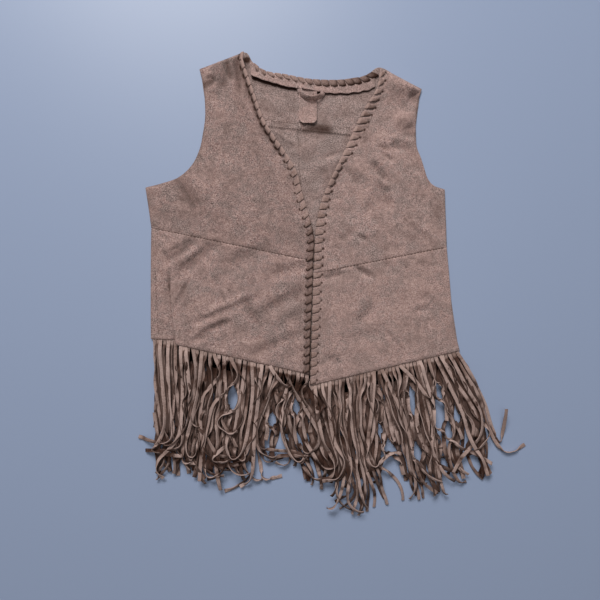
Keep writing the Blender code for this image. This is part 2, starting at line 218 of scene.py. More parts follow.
# ---- creases, in pixels of the picture. A trough has a negative depth. -------------------
# bow bends the line sideways, near and far are the widths of its two flanks, dark its painted shade (below 0, a
# painted highlight on a ridge).
Fold = namedtuple("Fold", "x0 y0 x1 y1 bow depth near far dark")
FOLDS = [
    # wearer's right, upper
    Fold(179, 181, 196, 208, 1.0, -2.6, 10, 12, 0.24),
    Fold(198, 178, 214, 214, 0.0, 1.2, 14, 16, 0.0),
    Fold(152, 207, 170, 219, 0.0, -1.2, 7, 8, 0.1),
    Fold(227, 58, 231, 79, -1.0, -4.2, 5, 6, 0.35),
    Fold(236, 62, 240, 92, 0.0, -2.6, 4, 6, 0.25),
    Fold(218, 62, 222, 84, 0.0, 2.2, 8, 9, 0.0),
    Fold(202, 85, 214, 79, 0.0, -2.8, 6, 7, 0.35),
    Fold(240, 104, 256, 150, 2.0, -1.1, 6, 9, 0.05),
    Fold(226, 96, 238, 150, 3.0, 1.0, 9, 12, 0.0),
    Fold(252, 160, 290, 222, 3.0, -0.9, 9, 14, 0.0),
    Fold(222, 170, 262, 236, -3.0, 0.9, 16, 20, 0.0),
    # wearer's right, lower
    Fold(163, 259, 196, 239, -2.0, -2.4, 6, 8, 0.22),
    Fold(184, 270, 217, 243, 2.0, -2.2, 7, 9, 0.18),
    Fold(172, 268, 200, 249, 0.0, 1.0, 7, 8, 0.0),
    Fold(230, 262, 262, 248, 0.0, -1.8, 9, 11, 0.15),
    Fold(212, 286, 246, 262, 2.0, -0.9, 9, 12, 0.05),
    Fold(176, 307, 188, 282, 1.5, -1.5, 2.6, 4, 0.22),
    Fold(196, 324, 256, 297, 2.0, -1.8, 5, 7, 0.15),
    Fold(206, 316, 250, 298, 1.5, 1.3, 6, 8, -0.1),
    Fold(198, 336, 228, 322, 1.5, -2.0, 4, 6, 0.2),
    Fold(190, 328, 228, 315, 1.0, 1.1, 4, 5, -0.1),
    Fold(192, 341, 212, 335, 0.5, -1.2, 4, 5, 0.1),
    Fold(246, 300, 262, 326, -2.0, -1.5, 7, 9, 0.2),
    Fold(262, 312, 308, 288, 2.0, -1.5, 7, 9, 0.15),
    Fold(268, 324, 306, 302, 2.0, 1.2, 8, 10, -0.05),
    Fold(268, 276, 308, 264, 1.0, -1.3, 7, 9, 0.12),
    Fold(256, 352, 300, 334, 1.5, -1.3, 7, 9, 0.12),
    Fold(228, 350, 262, 340, 0.0, 0.9, 9, 10, 0.0),
    # wearer's left, upper
    Fold(410, 98, 424, 97, 1.0, -3.6, 6, 8, 0.24),
    Fold(388, 84, 418, 89, -2.0, 2.2, 10, 11, 0.0),
    Fold(396, 119, 420, 119, 2.0, 2.6, 9, 12, -0.05),
    Fold(404, 132, 420, 133, 0.0, -2.2, 7, 8, 0.2),
    Fold(392, 146, 410, 147, 2.0, -2.2, 6, 8, 0.25),
    Fold(378, 146, 390, 149, -1.0, -1.8, 5, 7, 0.22),
    Fold(381, 152, 392, 161, 0.0, -1.5, 3, 4, 0.15),
    Fold(347, 169, 360, 184, 1.0, -1.6, 6, 8, 0.16),
    Fold(363, 167, 373, 188, 1.0, 1.6, 7, 8, -0.12),
    Fold(372, 163, 386, 180, 1.0, -2.0, 5, 7, 0.22),
    Fold(376, 175, 388, 188, 0.0, 1.6, 4, 5, -0.16),
    Fold(378, 184, 392, 208, 2.0, -1.6, 6, 8, 0.16),
    Fold(388, 164, 404, 192, 3.0, 1.4, 9, 11, -0.05),
    Fold(412, 150, 430, 186, 2.0, -1.6, 6, 8, 0.12),
    Fold(404, 160, 420, 196, 2.0, 1.2, 8, 10, 0.0),
    Fold(434, 204, 444, 230, 0.0, -1.6, 9, 10, 0.1),
    Fold(362, 210, 392, 196, 2.0, -0.9, 9, 12, 0.08),
    Fold(340, 240, 352, 232, 0.0, -1.0, 5, 6, 0.1),
    Fold(358, 235, 367, 240, 0.5, -1.5, 3, 5, 0.26),
    Fold(412, 225, 428, 240, 2.0, -1.4, 4, 7, 0.16),
    Fold(424, 228, 436, 244, 1.0, 1.2, 6, 8, -0.1),
    # wearer's left, lower
    Fold(322, 277, 342, 273, 1.0, -2.0, 4, 7, 0.36),
    Fold(356, 268, 372, 277, 1.0, -2.2, 4, 6, 0.34),
    Fold(419, 262, 430, 270, 1.0, -1.6, 5, 6, 0.22),
    Fold(386, 262, 394, 276, 1.0, -1.4, 5, 6, 0.15),
    Fold(400, 260, 408, 272, 0.0, -1.1, 5, 6, 0.1),
    Fold(356, 322, 374, 306, 1.0, -2.0, 9, 10, 0.3),
    Fold(382, 324, 407, 355, -2.0, -1.3, 2.6, 3.6, 0.12),
    Fold(340, 340, 386, 334, 2.0, -1.0, 9, 10, 0.06),
    Fold(430, 300, 451, 350, 3.0, -2.0, 6, 8, 0.14),
    Fold(440, 298, 457, 346, 2.0, 1.4, 6, 7, 0.0),
    Fold(416, 312, 434, 308, 1.0, -1.3, 5, 6, 0.12),
    Fold(326, 358, 342, 362, 0.0, -1.6, 9, 9, 0.2),
    Fold(420, 272, 446, 292, 3.0, -1.4, 9, 12, 0.12),
    Fold(330, 292, 372, 286, 2.0, 0.9, 12, 14, 0.0),
]
BACK_FOLDS = [
    Fold(300, 129, 334, 131, 1.5, -1.6, 6, 8, 0.72),
    Fold(304, 124, 330, 127, 0.0, -0.8, 5, 6, 0.55),
    Fold(272, 112, 296, 106, 0.0, -0.8, 8, 9, 0.12),
    Fold(275, 129, 295, 142, -2.0, 2.4, 4, 5, -0.1),
    Fold(276, 136, 292, 147, -2.5, -1.8, 3, 4, 0.3),
    Fold(279, 113, 290, 117, 1.0, -1.4, 5, 6, 0.25),
    Fold(292, 152, 318, 144, 1.0, 1.8, 8, 10, -0.05),
    Fold(322, 156, 345, 149, 1.5, -1.9, 4, 6, 0.35),
    Fold(320, 165, 344, 157, 1.0, 1.6, 8, 10, 0.0),
    Fold(330, 104, 366, 112, 2.0, 1.6, 12, 14, -0.05),
    Fold(300, 178, 324, 168, 1.0, 1.4, 9, 11, 0.0),
    Fold(304, 168, 330, 176, 1.0, -1.2, 7, 9, 0.15),
]

# A laced edge by the share of its length from the hem: how far in its holes are, as seen from
# above, and how it rises; the thongs' slant along the edge, width there, and share of it at the
# hole.
Roll = namedtuple("Roll", "share inset rise slant wide pinch")
ROLL_RIGHT = [
    Roll(0.00, 7.5, 0.6, 7.0, 9.4, 0.42),
    Roll(0.18, 8.2, 0.8, 7.6, 9.6, 0.42),
    Roll(0.30, 9.0, 0.8, 8.0, 9.8, 0.42),
    Roll(0.44, 9.6, 1.0, 7.2, 10.2, 0.42),
    Roll(0.55, 9.6, 1.6, 6.0, 10.4, 0.50),
    Roll(0.66, 7.6, 3.0, 3.5, 10.4, 0.70),
    Roll(0.74, 4.6, 4.6, 2.5, 12.2, 0.90),
    Roll(0.90, 4.0, 6.0, 2.5, 12.6, 0.90),
    Roll(1.00, 4.6, 5.0, 2.5, 12.4, 0.90),
]
ROLL_LEFT = [
    Roll(0.00, 9.0, 0.6, 1.4, 9.4, 0.42),
    Roll(0.20, 11.0, 0.6, 1.2, 9.6, 0.42),
    Roll(0.36, 12.0, 0.6, 1.0, 9.8, 0.42),
    Roll(0.44, 12.5, 0.6, 0.8, 9.8, 0.42),
    Roll(0.54, 11.0, 1.0, 0.8, 10.0, 0.45),
    Roll(0.60, 6.5, 3.2, 3.0, 11.0, 0.80),
    Roll(0.67, 6.0, 3.4, 3.0, 11.0, 0.80),
    Roll(0.72, 12.5, 1.4, 4.0, 10.2, 0.30),
    Roll(0.85, 14.0, 1.4, 5.0, 10.4, 0.30),
    Roll(0.90, 9.0, 3.4, 6.5, 9.4, 0.50),
    Roll(1.00, 8.0, 4.6, 6.0, 9.0, 0.60),
]


# ---- small helpers -------------------------------------------------------------------
def smooth(x):
    x = np.clip(x, 0.0, 1.0)
    return x * x * (3 - 2 * x)


def hermite(values, t, corners=()):
    """A curve through evenly numbered values, sharp at its corners."""
    v = np.asarray(values, float)
    n = len(v)
    slope = np.diff(v, axis=0)
    out, into = np.empty_like(v), np.empty_like(v)
    for i in range(n):
        if i == 0:
            out[i] = into[i] = slope[0]
        elif i == n - 1:
            out[i] = into[i] = slope[-1]
        elif i in corners:
            into[i], out[i] = slope[i - 1], slope[i]
        else:
            out[i] = into[i] = (slope[i - 1] + slope[i]) / 2
    t = np.clip(np.asarray(t, float), 0, n - 1)
    i = np.minimum(t.astype(int), n - 2)
    f = (t - i).reshape(-1, *([1] * (v.ndim - 1)))
    a, b, m, k = v[i], v[i + 1], out[i], into[i + 1]
    return (
        a * (2 * f**3 - 3 * f**2 + 1)
        + b * (3 * f**2 - 2 * f**3)
        + m * (f**3 - 2 * f**2 + f)
        + k * (f**3 - f**2)
    )


def evenly(line, step=None, count=None):
    """Points at even distances along a polyline, and those distances."""
    line = np.asarray(line, float)
    along = np.concatenate(
        [[0], np.cumsum(np.linalg.norm(np.diff(line, axis=0), axis=1))]
    )
    n = count or max(2, int(round(along[-1] / step)) + 1)
    s = np.linspace(0, along[-1], n)
    return np.stack([np.interp(s, along, line[:, k]) for k in range(line.shape[1])], 1), s


def waves(seed, count, shortest, longest):
    r = np.random.default_rng(seed)
    angle = r.uniform(0, np.pi, count)
    long = np.exp(r.uniform(np.log(shortest), np.log(longest), count))
    k = np.stack([np.cos(angle), np.sin(angle)], 1) * (2 * np.pi / long)[:, None]
    return k, r.uniform(0, 2 * np.pi, count), (long / longest) ** 0.7 / np.sqrt(count)


def swell(x, y, field):
    k, phase, size = field
    total = np.zeros_like(x)
    for (kx, ky), p, a in zip(k, phase, size):
        total += a * np.sin(kx * x + ky * y + p)
    return total


WIDE = waves(3, 14, 45.0, 150.0)
FINE = waves(4, 22, 14.0, 40.0)


def folded(x, y, folds):
    """Height and painted shade that a table of creases gives at some points; a dark below 0 gives a painted
    highlight.
    """
    high, fold_shade = np.zeros_like(x), np.zeros_like(x)
    for f in folds:
        a, b = at(f.x0, f.y0, 5), at(f.x1, f.y1, 5)
        run = b - a
        length = np.linalg.norm(run)
        run /= length
        along = ((x - a[0]) * run[0] + (y - a[1]) * run[1]) / length
        off = (x - a[0]) * -run[1] + (y - a[1]) * run[0]
        off = off - f.bow * 4 * along * (1 - along)
        fade = smooth((along + 0.22) / 0.44) * smooth((1.22 - along) / 0.44)
        wide = np.where(off > 0, f.near, f.far)
        shape = np.exp(-((off / wide) ** 2))
        lip = np.exp(-(((np.abs(off) - 2.1 * wide) / (1.1 * wide)) ** 2))
        high += fade * f.depth * (shape - 0.28 * lip)
        fold_shade += fade * f.dark * np.exp(-((off / (0.8 * wide)) ** 2))
    return high, fold_shade


def normals(grid):
    down = np.gradient(grid, axis=0)
    side = np.gradient(grid, axis=1)
    n = np.cross(side, down)
    n /= np.maximum(np.linalg.norm(n, axis=2, keepdims=True), 1e-9)
    return n * np.sign(n[..., 2].sum() or 1.0)


def make(name, verts, faces, material, attributes=None, sharp=None, recalc=True):
    mesh = bpy.data.meshes.new(name)
    mesh.from_pydata((np.asarray(verts) * MM).tolist(), [], [list(f) for f in faces])
    for key, values in (attributes or {}).items():
        layer = mesh.attributes.new(key, "FLOAT", "POINT")
        layer.data.foreach_set("value", np.asarray(values, np.float32))
    if recalc:
        bm = bmesh.new()
        bm.from_mesh(mesh)
        bmesh.ops.recalc_face_normals(bm, faces=bm.faces[:])
        bm.to_mesh(mesh)
        bm.free()
    mesh.polygons.foreach_set("use_smooth", [True] * len(mesh.polygons))
    if sharp:
        mesh.set_sharp_from_angle(angle=math.radians(sharp))
    mesh.materials.append(material)
    ob = bpy.data.objects.new(name, mesh)
    bpy.context.scene.collection.objects.link(ob)
    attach(ob, "root")
    return ob


def shell(name, top, wall, material, wear, flat_at=None, attributes=None):
    """A closed thin sheet under a grid of points, with a rounded rim."""
    top = np.asarray(top, float)
    rows, cols = top.shape[:2]
    under = top - normals(top) * wall
    if flat_at is not None:
        under[..., 2] = np.minimum(under[..., 2], np.maximum(flat_at, under[..., 2]))
        under[..., 2] = np.where(top[..., 2] - wall < flat_at + 0.05, flat_at, under[..., 2])
    rim = [(0, j) for j in range(cols)]
    rim += [(i, cols - 1) for i in range(1, rows)]
    rim += [(rows - 1, j) for j in range(cols - 2, -1, -1)]
    rim += [(i, 0) for i in range(rows - 2, 0, -1)]
    ri, rj = np.array(rim).T
    edge = top[ri, rj]
    inner = top[np.clip(ri, 1, rows - 2), np.clip(rj, 1, cols - 2)]
    out = edge - inner
    out[:, 2] = 0
    out /= np.maximum(np.linalg.norm(out, axis=1, keepdims=True), 1e-9)
    middle = (edge + under[ri, rj]) / 2 + out * wall * 0.35
    n = rows * cols
    verts = np.concatenate([top.reshape(-1, 3), under.reshape(-1, 3), middle])
    i, j = np.meshgrid(np.arange(rows - 1), np.arange(cols - 1), indexing="ij")
    a = (i * cols + j).ravel()
    upper = np.stack([a, a + 1, a + cols + 1, a + cols], 1)
    lower = np.stack([a + n, a + cols + n, a + cols + 1 + n, a + 1 + n], 1)
    m = len(rim)
    k = np.arange(m)
    k2 = (k + 1) % m
    e = ri * cols + rj
    side_a = np.stack([e[k], 2 * n + k, 2 * n + k2, e[k2]], 1)
    side_b = np.stack([2 * n + k, e[k] + n, e[k2] + n, 2 * n + k2], 1)
    faces = np.concatenate([upper, lower, side_a, side_b])
    wear = np.asarray(wear, float)
    # the underside is painted 0.15 darker and the rim 0.2 darker, as shade
    data = {
        "wear": np.concatenate([wear.ravel(), wear.ravel() - 0.15, wear[ri, rj] - 0.2])
    }
    for key, grid in (attributes or {}).items():
        grid = np.asarray(grid, float)
        data[key] = np.concatenate([grid.ravel(), grid.ravel(), grid[ri, rj]])
    return make(name, verts, faces, material, data, sharp=70)


# ---- materials ---------------------------------------------------------------------------
def suede(name, light, dark, red, grain=1.0, per_strand=False, depth=1.0):
    """Brushed suede: nap that lies two ways, fine speckle and soft stains, with painted shade and painted
    highlights from a point attribute.
    """
    m = bpy.data.materials.new(name)
    m.use_nodes = True
    tree = m.node_tree
    nodes, links = tree.nodes, tree.links
    shader = nodes["Principled BSDF"]
    shader.inputs["Roughness"].default_value = 0.93
    shader.inputs["Specular IOR Level"].default_value = 0.12
    shader.inputs["Sheen Weight"].default_value = 0.08 if per_strand else 0.25
    shader.inputs["Sheen Roughness"].default_value = 0.55
    shader.inputs["Sheen Tint"].default_value = (1.0, 0.86, 0.78, 1.0)
    where = nodes.new("ShaderNodeTexCoord").outputs["Object"]

    def noise(scale, detail, rough, distortion=0.0):
        n = nodes.new("ShaderNodeTexNoise")
        n.inputs["Scale"].default_value = scale
        n.inputs["Detail"].default_value = detail
        n.inputs["Roughness"].default_value = rough
        n.inputs["Distortion"].default_value = distortion
        links.new(where, n.inputs["Vector"])
        return n.outputs["Fac"]

    def span(value, low, high, to_low=0.0, to_high=1.0):
        n = nodes.new("ShaderNodeMapRange")
        n.inputs["From Min"].default_value = low
        n.inputs["From Max"].default_value = high
        n.inputs["To Min"].default_value = to_low
        n.inputs["To Max"].default_value = to_high
        links.new(value, n.inputs["Value"])
        return n.outputs["Result"]

    def mix(a, b, factor, blend="MIX"):
        n = nodes.new("ShaderNodeMix")
        n.data_type = "RGBA"
        n.blend_type = blend
        n.clamp_factor = True
        n.clamp_result = blend == "SUBTRACT"
        for socket, value in ((n.inputs[6], a), (n.inputs[7], b)):
            if isinstance(value, tuple):
                socket.default_value = (*value, 1.0)
            else:
                links.new(value, socket)
        if isinstance(factor, float):
            n.inputs[0].default_value = factor
        else:
            links.new(factor, n.inputs[0])
        return n.outputs[2]

    def vary(colour, value, size):
        """Lighter and darker by like amounts of light, which makes the darks the warmer."""
        less = (0.85 * size, 0.71 * size, 0.68 * size)
        more = (1.3 * size, 1.045 * size, 0.99 * size)
        return mix(mix(colour, less, 1.0, "SUBTRACT"), mix(colour, more, 1.0, "ADD"), value)

    def attribute(key):
        n = nodes.new("ShaderNodeAttribute")
        n.attribute_name = key
        return n.outputs["Fac"]

    blotch = noise(22.0, 5.0, 0.62, 0.6)
    patch = noise(9.0, 3.0, 0.5, 0.3)
    smudge = noise(62.0, 4.0, 0.65, 1.1)
    speck = noise(600.0 * grain, 3.0, 0.7)
    mottle = noise(150.0 * grain, 4.0, 0.7)
    tint = noise(70.0 * grain, 3.0, 0.6, 0.4)
    colour = mix(dark, light, span(blotch, 0.34, 0.66))
    colour = mix(colour, red, span(patch, 0.5, 0.78, 0.0, 0.4))
    colour = mix(colour, red, span(tint, 0.52, 0.72, 0.0, 0.3))
    colour = vary(colour, span(smudge, 0.28, 0.72), 0.08 * depth)
    colour = vary(colour, span(mottle, 0.27, 0.77), 0.105 * depth)
    brushed = vary(colour, span(speck, 0.27, 0.77), 0.35 * depth)
    colour = mix(colour, brushed, span(noise(31.0, 3.0, 0.6, 0.5), 0.36, 0.60, 0.45, 1.0))
    if per_strand:
        tone = attribute("tone")
        colour = mix(colour, tuple(c * 0.5 for c in dark), span(tone, 0.0, -1.0, 0.0, 0.55))
        colour = mix(
            colour, tuple(min(1.0, c * 1.2) for c in light), span(tone, 0.0, 1.0, 0.0, 0.6)
        )
        colour = mix(
            colour, tuple(c * 0.72 for c in red), span(attribute("face"), 0.0, -1.0, 0.0, 0.55)
        )
    # painted highlight where this attribute is above 0, painted shade down to near black where it is below 0; it
    # also carries each piece's and strand's own tone
    shade_and_tone_in = attribute("wear")
    colour = mix(
        colour, tuple(min(1.0, c * 1.22) for c in light), span(shade_and_tone_in, 0.0, 1.0, 0.0, 0.9)
    )
    colour = mix(colour, (0.034, 0.010, 0.004), span(shade_and_tone_in, 0.0, -1.0, 0.0, 0.96))
    links.new(colour, shader.inputs["Base Color"])
    links.new(span(mottle, 0.3, 0.7, 0.86, 0.98), shader.inputs["Roughness"])
    nap = nodes.new("ShaderNodeBump")
    nap.inputs["Strength"].default_value = 0.5
    nap.inputs["Distance"].default_value = 0.0006
    links.new(noise(900.0 * grain, 4.0, 0.8), nap.inputs["Height"])
    pebble = nodes.new("ShaderNodeBump")
    pebble.inputs["Strength"].default_value = 0.45
    pebble.inputs["Distance"].default_value = 0.0016
    links.new(noise(210.0 * grain, 5.0, 0.7), pebble.inputs["Height"])
    links.new(nap.outputs["Normal"], pebble.inputs["Normal"])
    links.new(pebble.outputs["Normal"], shader.inputs["Normal"])
    return m


LIGHT, DARK, RED = (0.364, 0.243, 0.216), (0.246, 0.159, 0.140), (0.312, 0.189, 0.166)
panel_suede = suede("suede_panel", LIGHT, DARK, RED)
back_suede = suede(
    "suede_inside", (0.288, 0.195, 0.174), (0.212, 0.140, 0.124), (0.246, 0.153, 0.135)
)
lace_suede = suede(
    "suede_lacing", (0.372, 0.256, 0.226), (0.268, 0.177, 0.153), (0.31, 0.194, 0.168), 1.2, depth=0.5
)
fringe_suede = suede(
    "suede_fringe",
    (0.442, 0.326, 0.294),
    (0.306, 0.211, 0.182),
    (0.322, 0.202, 0.166),
    1.2,
    per_strand=True,
    depth=0.6,
)
thread = bpy.data.materials.new("thread")
thread.use_nodes = True
tree = thread.node_tree
twist = tree.nodes.new("ShaderNodeTexNoise")
twist.inputs["Scale"].default_value = 1800.0
ramp = tree.nodes.new("ShaderNodeMix")
ramp.data_type = "RGBA"
ramp.inputs[6].default_value = (0.07, 0.035, 0.024, 1)
ramp.inputs[7].default_value = (0.15, 0.085, 0.062, 1)
place_at = tree.nodes.new("ShaderNodeTexCoord")
tree.links.new(place_at.outputs["Object"], twist.inputs["Vector"])
tree.links.new(twist.outputs["Fac"], ramp.inputs[0])
tree.links.new(ramp.outputs[2], tree.nodes["Principled BSDF"].inputs["Base Color"])
tree.nodes["Principled BSDF"].inputs["Roughness"].default_value = 0.7

# ---- laced edges of the fronts --------------------------------------------------------------
ARMPIT = {"right": 2, "left": 3}
TABLES = {
    "right": (LOWER_RIGHT, UPPER_RIGHT, ROLL_RIGHT),
    "left": (LOWER_LEFT, UPPER_LEFT, ROLL_LEFT),
}


def edge_line(side):
    lower, upper, _ = TABLES[side]
    points = [(r.edge_x, r.edge_y) for r in lower[:-1]] + [
        (r.edge_x, r.edge_y) for r in upper
    ]
    t = np.linspace(0, len(points) - 1, 900)
    return hermite(points, t)


def roll_at(side, share, column):
    table = TABLES[side][2]
    return np.interp(share, [r.share for r in table], [getattr(r, column) for r in table])


EDGE = {}
for side in ("right", "left"):
    line, s = evenly(edge_line(side), step=1.0)
    run = np.gradient(line, axis=0)
    run /= np.linalg.norm(run, axis=1)[:, None]
    inward = np.stack([-run[:, 1], run[:, 0]], 1)
    if side == "left":
        inward = -inward
    EDGE[side] = dict(line=line, s=s, run=run, inward=inward, length=s[-1])

Stitch = namedtuple("Stitch", "hole cross inset run inward share wide pinch")
STITCHES = {}
for side in ("right", "left"):
    e = EDGE[side]
    r = np.random.default_rng(5 if side == "right" else 6)
    found = []
    s = 7.0
    while s < e["length"] - 5:
        share = s / e["length"]
        inset = float(roll_at(side, share, "inset")) * r.uniform(0.93, 1.07)
        slant = float(roll_at(side, share, "slant")) * r.uniform(0.85, 1.15)
        wide = float(roll_at(side, share, "wide")) * r.uniform(0.94, 1.06)
        pinch = float(roll_at(side, share, "pinch"))
        sign = -1.0 if side == "right" else 1.0  # where the hole is, along the edge
        low = np.clip(s + sign * slant / 2, 0, e["length"])
        high = np.clip(s - sign * slant / 2, 0, e["length"])
        pick = lambda key, q: np.array([np.interp(q, e["s"], e[key][:, k]) for k in (0, 1)])
        inward, run = pick("inward", s), pick("run", s)
        hole = pick("line", low) + inward * inset
        found.append(Stitch(hole, pick("line", high), inset, run, inward, share, wide, pinch))
        s += LACE_PITCH * r.uniform(0.93, 1.07)
    STITCHES[side] = found


# ---- front panels ------------------------------------------------------------------------
def row_values(table, t, corners):
    ends = hermite([(r.side_x, r.side_y) for r in table], t, corners)
    edge = hermite([(r.edge_x, r.edge_y) for r in table], t)
    high = hermite([(r.side_z, r.mid_z, r.edge_z) for r in table], t)
    return ends, edge, high


def rows_evenly(table, corners, step):
    t = np.linspace(0, len(table) - 1, 1200)
    ends, edge, _ = row_values(table, t, corners)
    pace = np.maximum(
        np.linalg.norm(np.diff(ends, axis=0), axis=1),
        np.linalg.norm(np.diff(edge, axis=0), axis=1),
    )
    along = np.concatenate([[0], np.cumsum(pace)])
    return np.interp(np.linspace(0, along[-1], int(along[-1] / step) + 1), along, t)


def near_edge(side, x, y):
    """Distance inwards from the laced edge, and the share along it, of some points."""
    e = EDGE[side]
    far, share = np.full(x.shape, 1e9), np.zeros(x.shape)
    for k in range(0, len(e["line"]), 3):
        d = (x - e["line"][k, 0]) ** 2 + (y - e["line"][k, 1]) ** 2
        hit = d < far
        far = np.where(hit, d, far)
        share = np.where(hit, e["s"][k] / e["length"], share)
    return np.sqrt(far), share


def meeting_shade(share):
    """How dark the painted shade line is where the fronts meet, by the share along their edges."""
    return np.interp(share, [0.0, 0.12, 0.17, 0.30, 0.35, 0.42, 0.47], [0.6, 0.55, 0.14, 0.12, 0.5, 0.5, 0])


def finish_front(side, x, y, z, d_seam, d_hem, d_side):
    """Adds swell, creases, the rolled edge, dents at the lacing holes and seams to a front's height, and gives its
    painted shade and highlights.
    """
    # painted shade in the creases and painted highlights on the ridges
    high, fold_shade = folded(x, y, FOLDS)
    high, wear = 1.6 * high, -1.55 * fold_shade
    fade = smooth(d_side / 14.0)
    z = z + 0.9 * swell(x, y, WIDE) * fade + 0.30 * swell(x, y, FINE) * fade
    z = z + high * (0.35 + 0.65 * smooth(d_side / 10.0))
    z = 1.75 + SUEDE + np.logaddexp(0, (z - 1.75 - SUEDE) * 2.2) / 2.2  # stays off the back
    d, share = near_edge(side, x, y)
    rise = roll_at(side, share, "rise")
    rolled = smooth((9.0 - roll_at(side, share, "inset")) / 3.0) * smooth((share - 0.5) / 0.05)
    z = z + (1 - rolled) * rise * np.clip(1 - d / 16.0, 0, 1) ** 2
    z = z + rolled * rise * (np.exp(-(((d - 1.0) / 3.4) ** 2)) + 0.25 * np.exp(-((d / 18.0) ** 2)))
    z = z - rolled * 1.3 * np.exp(-(((d - 6.2) / 1.9) ** 2))
    # a painted highlight on the rolled cord and a band of painted shade inside it
    wear = wear + rolled * (
        0.30 * np.exp(-(((d - 1.0) / 2.0) ** 2)) - 0.34 * np.exp(-(((d - 7.0) / 4.0) ** 2))
    )
    e = EDGE[side]
    pucker = np.cos(2 * np.pi * share * e["length"] / LACE_PITCH)
    z = z + 0.35 * pucker * np.exp(-((d / 9.0) ** 2))
    for st in STITCHES[side]:
        along = (x - st.hole[0]) * st.run[0] + (y - st.hole[1]) * st.run[1]
        inward = (x - st.hole[0]) * st.inward[0] + (y - st.hole[1]) * st.inward[1]
        slit = float(smooth((9.0 - st.inset) / 3.0) * smooth((st.share - 0.5) / 0.05))
        beyond = (0.3 if side == "right" else 1.3) * (1 - slit) + 1.9 * slit
        above = (0.5 if side == "right" else 1.4) * (1 - slit)
        # a dent at each hole, with a painted dark dot for the shade of the hole
        q = ((along - above) / (1.9 + 2.2 * slit)) ** 2 + ((inward - beyond) / (1.9 - 0.4 * slit)) ** 2
        z = z - 1.2 * np.exp(-q)
        wear = wear - np.minimum(1.15, (1.7 - (0.4 if side == "right" else 1.15) * slit) * np.exp(-q))
        # the panel swells up beside the thong, with a painted highlight on the swell
        way = st.cross - st.hole
        reach = np.linalg.norm(way)
        u = ((x - st.hole[0]) * way[0] + (y - st.hole[1]) * way[1]) / reach**2
        lean = along - u * float(way @ st.run)
        half = st.wide / 2 * (st.pinch + (1 - st.pinch) * np.clip(u, 0, 1))
        lip = np.exp(-(((-lean - half - 3.0) / 1.4) ** 2)) * smooth((u + 0.2) / 0.3) * smooth((1.3 - u) / 0.3)
        lip = lip * (np.abs(along) < 16) * (np.abs(inward) < 20)
        high_v = float(smooth((st.share - 0.62) / 0.06)) if side == "left" else 0.0
        z = z + (0.5 + 0.4 * high_v) * lip
        wear = wear + (0.48 + 0.1 * high_v) * lip
    # painted shade along the line where the fronts meet
    wear = wear - meeting_shade(share) * np.exp(-((d / 1.4) ** 2))
    if side == "right":  # its edge lies lower than the other, in a band of painted shade
        wear = wear - 0.50 * smooth((0.46 - share) / 0.05) * np.exp(-((d / 8.8) ** 4))
    # a painted highlight along the V edges
    wear = wear + 0.5 * smooth((share - 0.5) / 0.05) * np.exp(-((d / 1.5) ** 2))
    if d_seam is not None:
        z = z - 0.2 * np.exp(-((d_seam / 2.4) ** 2)) + 0.35 * np.exp(-(((d_seam - 5) / 3) ** 2))
        # paler along the seam
        wear = wear + 0.10 * np.exp(-((d_seam / 1.8) ** 2))
    if d_hem is not None:
        z = z - 0.6 * np.exp(-((d_hem / 1.8) ** 2)) + 0.35 * np.exp(-(((d_hem - 5) / 3) ** 2))
        # painted shade along the hem's edge
        wear = wear - 0.25 * np.exp(-((d_hem / 1.3) ** 2))
    z = z - 0.8 * np.exp(-((d_side / 2.2) ** 2))
    # darker along the side and armhole edges
    wear = wear - 0.22 * np.exp(-((d_side / 1.6) ** 2))
    return clear(z), wear


def clear(z):
    """Keeps a front's upper face high enough for its underside to lie on the back."""
    low = 2 * SUEDE + 0.3
    return low + np.logaddexp(0, (z - low) * 5.0) / 5.0


def columns(count_in=104, count_edge=20, zone=22.0):
    return count_in, count_edge, zone


def front_upper(side):
    _, table, _ = TABLES[side]
    corner = (ARMPIT[side],)
    t = rows_evenly(table, corner, 1.9)
    ends, edge, high = row_values(table, t, corner)
    length = np.linalg.norm(edge - ends, axis=1)
    n_in, n_edge, zone = columns()
    zone = np.minimum(zone, length * 0.35)
    share = np.concatenate(
        [
            np.linspace(0, 1, n_in, endpoint=False)[None, :] * (1 - zone / length)[:, None],
            1 - (zone / length)[:, None] * (1 - np.linspace(0, 1, n_edge))[None, :],
        ],
        1,
    )
    # the neck point is rounded off
    to_end = np.linalg.norm(edge - edge[-1], axis=1)
    near = np.clip(1 - to_end / NECK_POINT, 0, 1)
    pull = NECK_POINT * (1 - np.sqrt(1 - near**2))
    edge = edge - (edge - ends) / length[:, None] * pull[:, None]
    length = length - pull
    x = ends[:, None, 0] + (edge - ends)[:, None, 0] * share
    y = ends[:, None, 1] + (edge - ends)[:, None, 1] * share
    a, b, c = (high[:, None, k] for k in range(3))
    z = a * (1 - share) * (1 - 2 * share) + 4 * b * share * (1 - share)
    z = z + c * share * (2 * share - 1) + SUEDE
    # distance from the seam row, the shoulder and the side or armhole
    seam = np.array([table[0].edge_x - table[0].side_x, table[0].edge_y - table[0].side_y])
    seam /= np.linalg.norm(seam)
    d_seam = np.abs((x - table[0].side_x) * -seam[1] + (y - table[0].side_y) * seam[0])
    d_side = share * length[:, None]
    top = np.array([table[-1].edge_x - table[-1].side_x, table[-1].edge_y - table[-1].side_y])
    top /= np.linalg.norm(top)
    d_top = np.abs((x - table[-1].side_x) * -top[1] + (y - table[-1].side_y) * top[0])
    puff = 5.5 * smooth(d_top / 7.0) * np.exp(-((d_top / 26.0) ** 2))
    z = z + puff * smooth(share * 3) * smooth((1 - share) * 4)
    z, wear = finish_front(side, x, y, z, d_seam, None, np.minimum(d_side, d_top))
    z = clear(z - 1.2 * np.exp(-((d_top / 3.0) ** 2)))
    return np.stack([x, y, z], 2), wear


